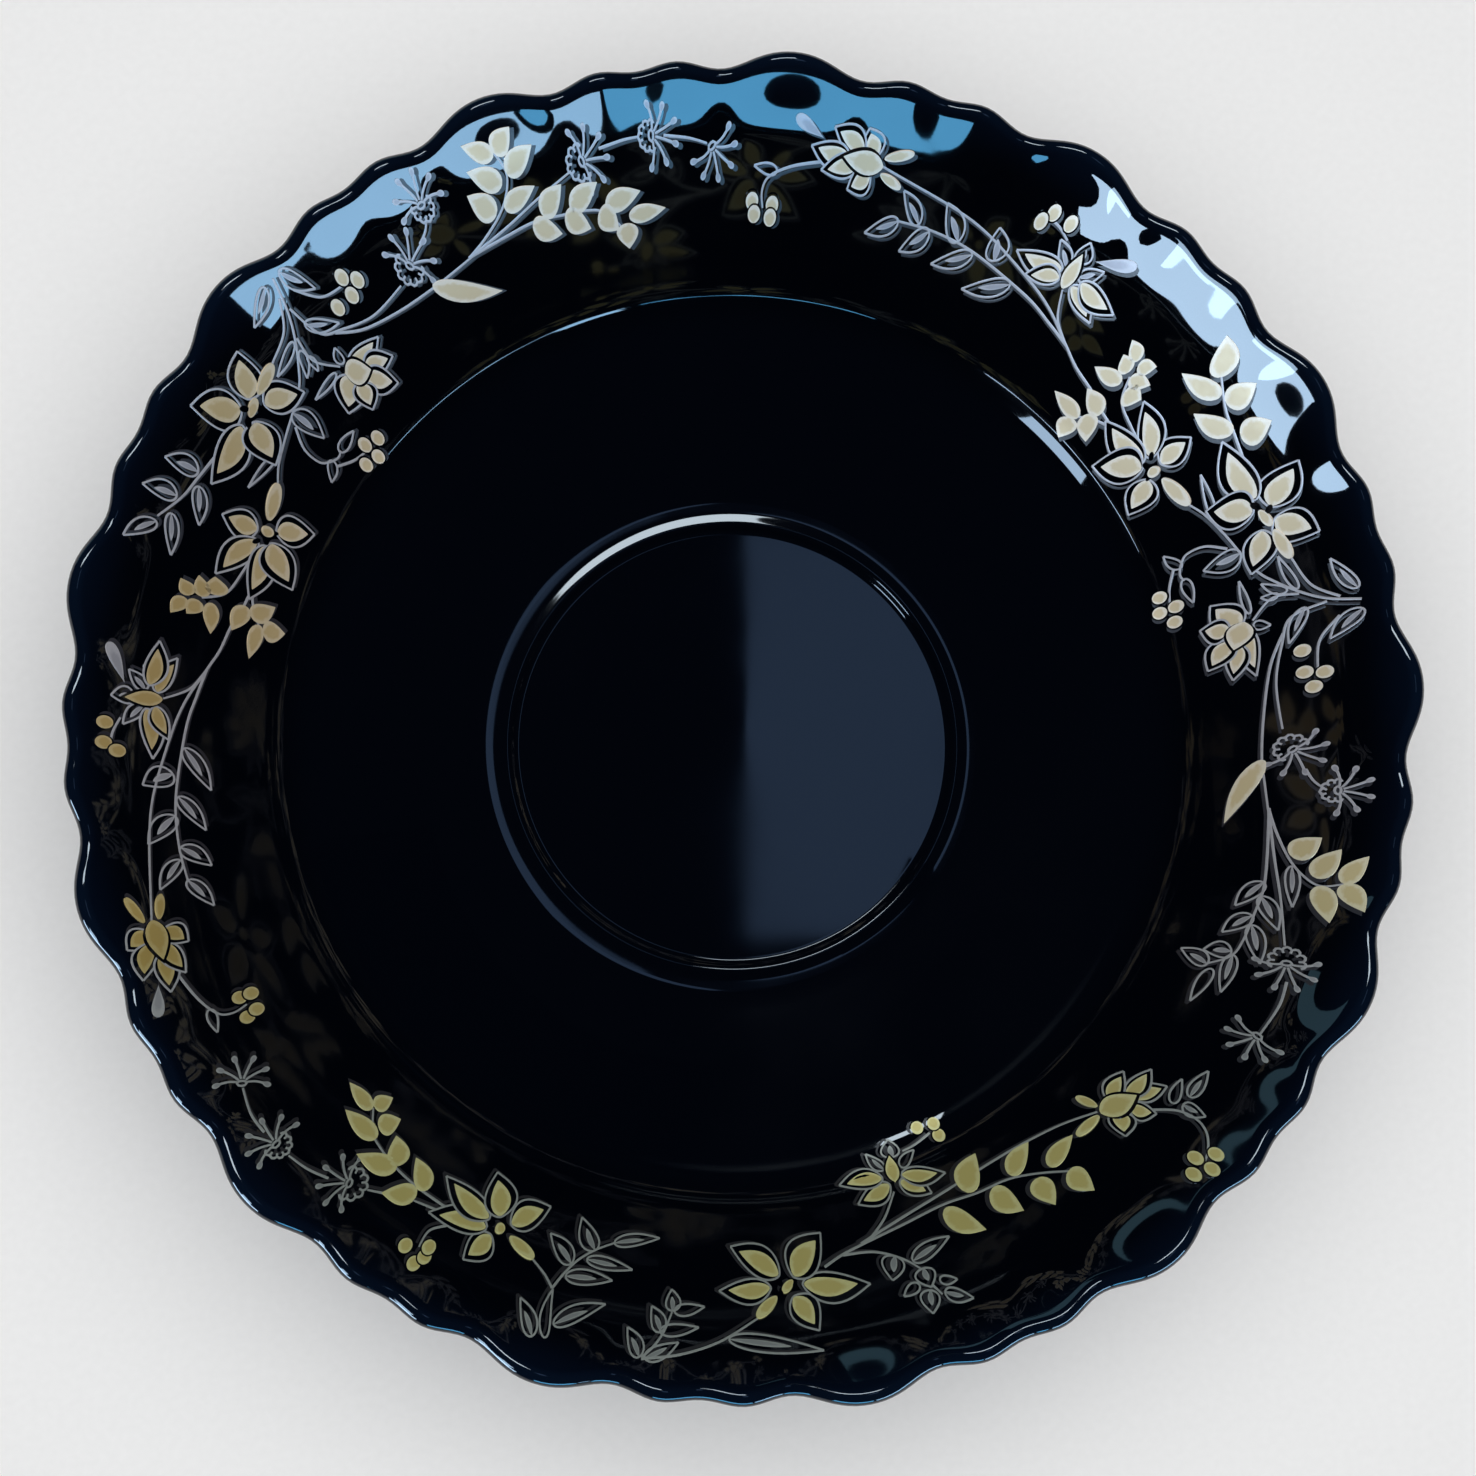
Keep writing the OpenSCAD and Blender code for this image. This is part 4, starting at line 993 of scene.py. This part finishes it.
bow = add(tree, "ShaderNodeMath", {0: half_turn.outputs[0]}, operation="SINE")
bow = add(tree, "ShaderNodeMath", {0: bow.outputs[0], 1: facts["bend"]},
          operation="MULTIPLY")
bow = add(tree, "ShaderNodeMath", {0: bow.outputs[0], 1: facts["length"]},
          operation="MULTIPLY")
sideways = add(tree, "ShaderNodeMath", {
    0: swell.outputs[0], 1: facts["across"], 2: bow.outputs[0]}, operation="MULTIPLY_ADD")
forward = add(tree, "ShaderNodeMath", {0: facts["along"], 1: facts["length"]},
              operation="MULTIPLY")
height = add(tree, "ShaderNodeSeparateXYZ", {
    0: add(tree, "GeometryNodeInputPosition").outputs[0]})
depth = add(tree, "ShaderNodeMath", {0: height.outputs["Z"], 1: given["Sink"]},
            operation="ADD")
lowered = add(tree, "ShaderNodeMath", {0: facts["rise"], 1: 1.0}, operation="SUBTRACT")
lowered = add(tree, "ShaderNodeMath", {0: lowered.outputs[0], 1: depth.outputs[0]},
              operation="MULTIPLY")
move = add(tree, "ShaderNodeCombineXYZ", {
    "X": forward.outputs[0], "Y": sideways.outputs[0], "Z": lowered.outputs[0]})
move = add(tree, "ShaderNodeVectorRotate", {
    "Vector": move.outputs[0], "Angle": facts["aim"]}, rotation_type="Z_AXIS")
leaves = add(tree, "GeometryNodeSetPosition", {
    "Geometry": leaves.outputs[0], "Offset": move.outputs[0]})
flat_print = add(tree, "GeometryNodeJoinGeometry", {
    "Geometry": [leaves.outputs[0], line.outputs[0]]})
spot = add(tree, "ShaderNodeSeparateXYZ", {
    0: add(tree, "GeometryNodeInputPosition").outputs[0]})
above = add(tree, "ShaderNodeCombineXYZ", {
    "X": spot.outputs["X"], "Y": spot.outputs["Y"], "Z": 0.2})
target = add(tree, "GeometryNodeObjectInfo", {"Object": given["Bowl"]})
drop = add(tree, "GeometryNodeRaycast", {
    "Target Geometry": target.outputs["Geometry"], "Source Position": above.outputs[0],
    "Ray Direction": (0, 0, -1), "Ray Length": 1.0})
stand = add(tree, "ShaderNodeVectorMath", {
    0: drop.outputs["Hit Normal"], 3: spot.outputs["Z"]}, operation="SCALE")
stand = add(tree, "ShaderNodeVectorMath", {
    0: drop.outputs["Hit Position"], 1: stand.outputs[0]}, operation="ADD")
laid = add(tree, "GeometryNodeSetPosition", {
    "Geometry": flat_print.outputs[0], "Position": stand.outputs[0]})
laid = add(tree, "GeometryNodeSetShadeSmooth", {"Geometry": laid.outputs[0]})
turned = add(tree, "GeometryNodeInputMeshEdgeAngle")
edge = add(tree, "FunctionNodeCompare", {
    0: turned.outputs["Unsigned Angle"], 1: math.radians(25)}, operation="GREATER_THAN")
laid = add(tree, "GeometryNodeSetShadeSmooth", {
    "Geometry": laid.outputs[0], "Selection": edge.outputs[0], "Shade Smooth": False},
    domain="EDGE")
laid = add(tree, "GeometryNodeRealizeInstances", {"Geometry": laid.outputs[0]})
laid = add(tree, "GeometryNodeSetMaterial", {
    "Geometry": laid.outputs[0], "Material": given["Metal"]})
add(tree, "NodeGroupOutput", {"Geometry": laid.outputs[0]})

# %% Lay every print down
SPACING = 0.45 * MM
KEYS = ("aim", "length", "girth", "base_belly", "tip_belly", "bend")
FINISH = {"silver": (silver, "fired_silver"), "gold": (gold, "fired_gold"),
          "gap": (glass, "dark_glass"), "ghost": (ghost, "dark_glass")}


def as_source(name, print_):
    """The flat drawing as one mesh: wires are edges, plates are loose points."""
    points, edges, facts = [], [], {label: [] for label in ("half", *KEYS)}
    for line_points, halves, height in print_["wires"]:
        start = len(points)
        points += [(x, y, height - h * FLATNESS) for (x, y), h in zip(line_points, halves)]
        edges += [(k, k + 1) for k in range(start, len(points) - 1)]
        facts["half"] += list(halves)
        for label in KEYS:
            facts[label] += [0.0] * len(halves)
    for base, height, numbers in print_["plates"]:
        points.append((*base, height))
        facts["half"].append(0.0)
        for label in KEYS:
            facts[label].append(numbers[label])
    return source_mesh(name, points, edges, facts)


for name, spray in SPRAYS.items():
    for kind, (material, slot) in FINISH.items():
        if not spray[kind]["wires"] and not spray[kind]["plates"]:
            continue
        piece = grow(f"{kind}_print_{name}", as_source("drawing", spray[kind]), tree, {
            "Bowl": bowl, "Leaf": leaf, "Spacing": SPACING, "Flatness": FLATNESS,
            "Sink": SINK, "Metal": material})
        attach(piece, "root")
        if kind in ("silver", "gold"):
            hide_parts(f"{name}_{kind}")
bpy.data.objects.remove(leaf)

# %% [markdown]
# ## The floor and the light
# A dark, glossy bowl is lit by what it reflects. The room above is kept dark, so the
# glass stays black; soft boxes stand only where a highlight is wanted. Each stands in a
# given direction, found by following a ray from the camera to the glass and on along its
# reflection, and only mirrors see it. A wide lamp overhead does the opposite: it lights the
# floor and the matt side of the prints, and no mirror sees it.

# %% Floor
floor_mesh = bpy.data.meshes.new("floor")
half = 4.0              # metres from the middle to an edge
floor_mesh.from_pydata([(-half, -half, 0), (half, -half, 0), (half, half, 0),
                        (-half, half, 0)], [], [(0, 1, 2, 3)])
floor = bpy.data.objects.new("floor", floor_mesh)
bpy.context.scene.collection.objects.link(floor)
paper, tree, shader = new_material("matt_white_paper")
fibre = add(tree, "ShaderNodeTexNoise", {
    "Vector": add(tree, "ShaderNodeTexCoord").outputs["Object"], "Scale": 600.0})
shade = add(tree, "ShaderNodeMix", {
    "Factor": fibre.outputs["Fac"], 6: linear("#f4f4f4"), 7: linear("#fafafa")},
    data_type="RGBA")
tree.links.new(shade.outputs[2], shader.inputs["Base Color"])
shader.inputs["Roughness"].default_value = 0.9
shader.inputs["Specular IOR Level"].default_value = 0.1
floor_mesh.materials.append(paper)

# %% Lights
CENTRE = Vector((0, 0, 0.04))


def soft_box(name, azimuth, elevation, distance, width, height, power, colour):
    """A rectangular lamp in a direction from the bowl, in degrees, facing it."""
    lamp = bpy.data.lights.new(name, "AREA")
    lamp.shape, lamp.size, lamp.size_y = "RECTANGLE", width, height
    lamp.energy, lamp.color = power, linear(colour)[:3]
    a, e = math.radians(azimuth), math.radians(elevation)
    out = Vector((math.cos(a) * math.cos(e), math.sin(a) * math.cos(e), math.sin(e)))
    piece = bpy.data.objects.new(name, lamp)
    piece.location = CENTRE + out * distance
    piece.rotation_euler = out.to_track_quat("Z", "Y").to_euler()
    bpy.context.scene.collection.objects.link(piece)
    return piece


LAMPS = [
    ("overhead", 90, 89.9, 5.0, 8.0, 8.0, 400, "#ffffff"),
    ("tall_window", 220, 25, 2.0, 0.4, 0.9, 20, "#c0e0ff"),
    ("low_window", 218, 10.5, 2.0, 1.2, 0.46, 40, "#c0e0ff"),
    ("side_window", 270, 10, 2.0, 1.2, 0.4, 26, "#5fb4ea"),
    ("far_side_window", 309, 9.5, 2.0, 1.4, 0.36, 32, "#9ccdf5"),
    ("doorway", 120, 6, 2.0, 2.2, 0.24, 4, "#6f9aae"),
    ("lamp_glow", 98, 66, 2.0, 0.62, 0.26, 10, "#dcecf8"),
    ("ceiling_panel", 45, 81, 3.0, 0.28, 0.54, 0.6, "#9cc4ff")]
PANEL_PLACE = (0.33, 0.35, 3.0)     # the panel faces straight down, not at the bowl
for facts in LAMPS:
    lamp = soft_box(*facts)
    lamp.visible_diffuse = facts[0] == "overhead"
    lamp.visible_glossy = facts[0] != "overhead"
    lamp.visible_camera = False
lamp.location, lamp.rotation_euler = PANEL_PLACE, (0, 0, 0)
print("lamps:", [facts[0] for facts in LAMPS])
bpy.context.scene.view_settings.view_transform = "Standard"

# %% [markdown]
# ## A black card and the room
# Photographers shape what a glossy thing mirrors with black cards. Here a half ring of
# card lies just above the far half of the bowl. It hides the low windows from the
# shoulder and leaves them to the rim, with a few slats left out where a highlight comes
# through. The camera does not see it. The room is near black to mirrors and pale to the
# camera, so a low view still has a pale backdrop.

# %% Black card
CARD_HEIGHT, CARD_INNER, CARD_OUTER = 0.0588, 0.045, 0.1165     # metres
CARD_START, CARD_END, SLATS = 190, 336, 73      # clock angles, and pieces between them
LEFT_OUT = range(52, 57)
black, tree, shader = new_material("matt_black_card")
shader.inputs["Base Color"].default_value = (0, 0, 0, 1)
shader.inputs["Specular IOR Level"].default_value = 0
turns = np.radians(np.linspace(CARD_START, CARD_END, SLATS + 1))
card_mesh = bpy.data.meshes.new("black_card")
card_mesh.from_pydata(
    [(r * math.cos(t), r * math.sin(t), CARD_HEIGHT) for r in (CARD_INNER, CARD_OUTER)
     for t in turns], [],
    [(k, k + 1, k + SLATS + 2, k + SLATS + 1) for k in range(SLATS) if k not in LEFT_OUT])
card_mesh.materials.append(black)
card = bpy.data.objects.new("black_card", card_mesh)
bpy.context.scene.collection.objects.link(card)
card.visible_camera = card.visible_diffuse = card.visible_shadow = False

# %% The room
world = bpy.data.worlds.new("dim_room")
bpy.context.scene.world = world
world.use_nodes = True
tree = world.node_tree
tree.nodes.clear()
room = add(tree, "ShaderNodeBackground", {"Color": linear("#0a0c10")})
backdrop = add(tree, "ShaderNodeBackground", {"Color": linear("#f2f4f6")})
seen = add(tree, "ShaderNodeMixShader", {
    0: add(tree, "ShaderNodeLightPath").outputs["Is Camera Ray"],
    1: room.outputs[0], 2: backdrop.outputs[0]})
add(tree, "ShaderNodeOutputWorld", {"Surface": seen.outputs[0]})
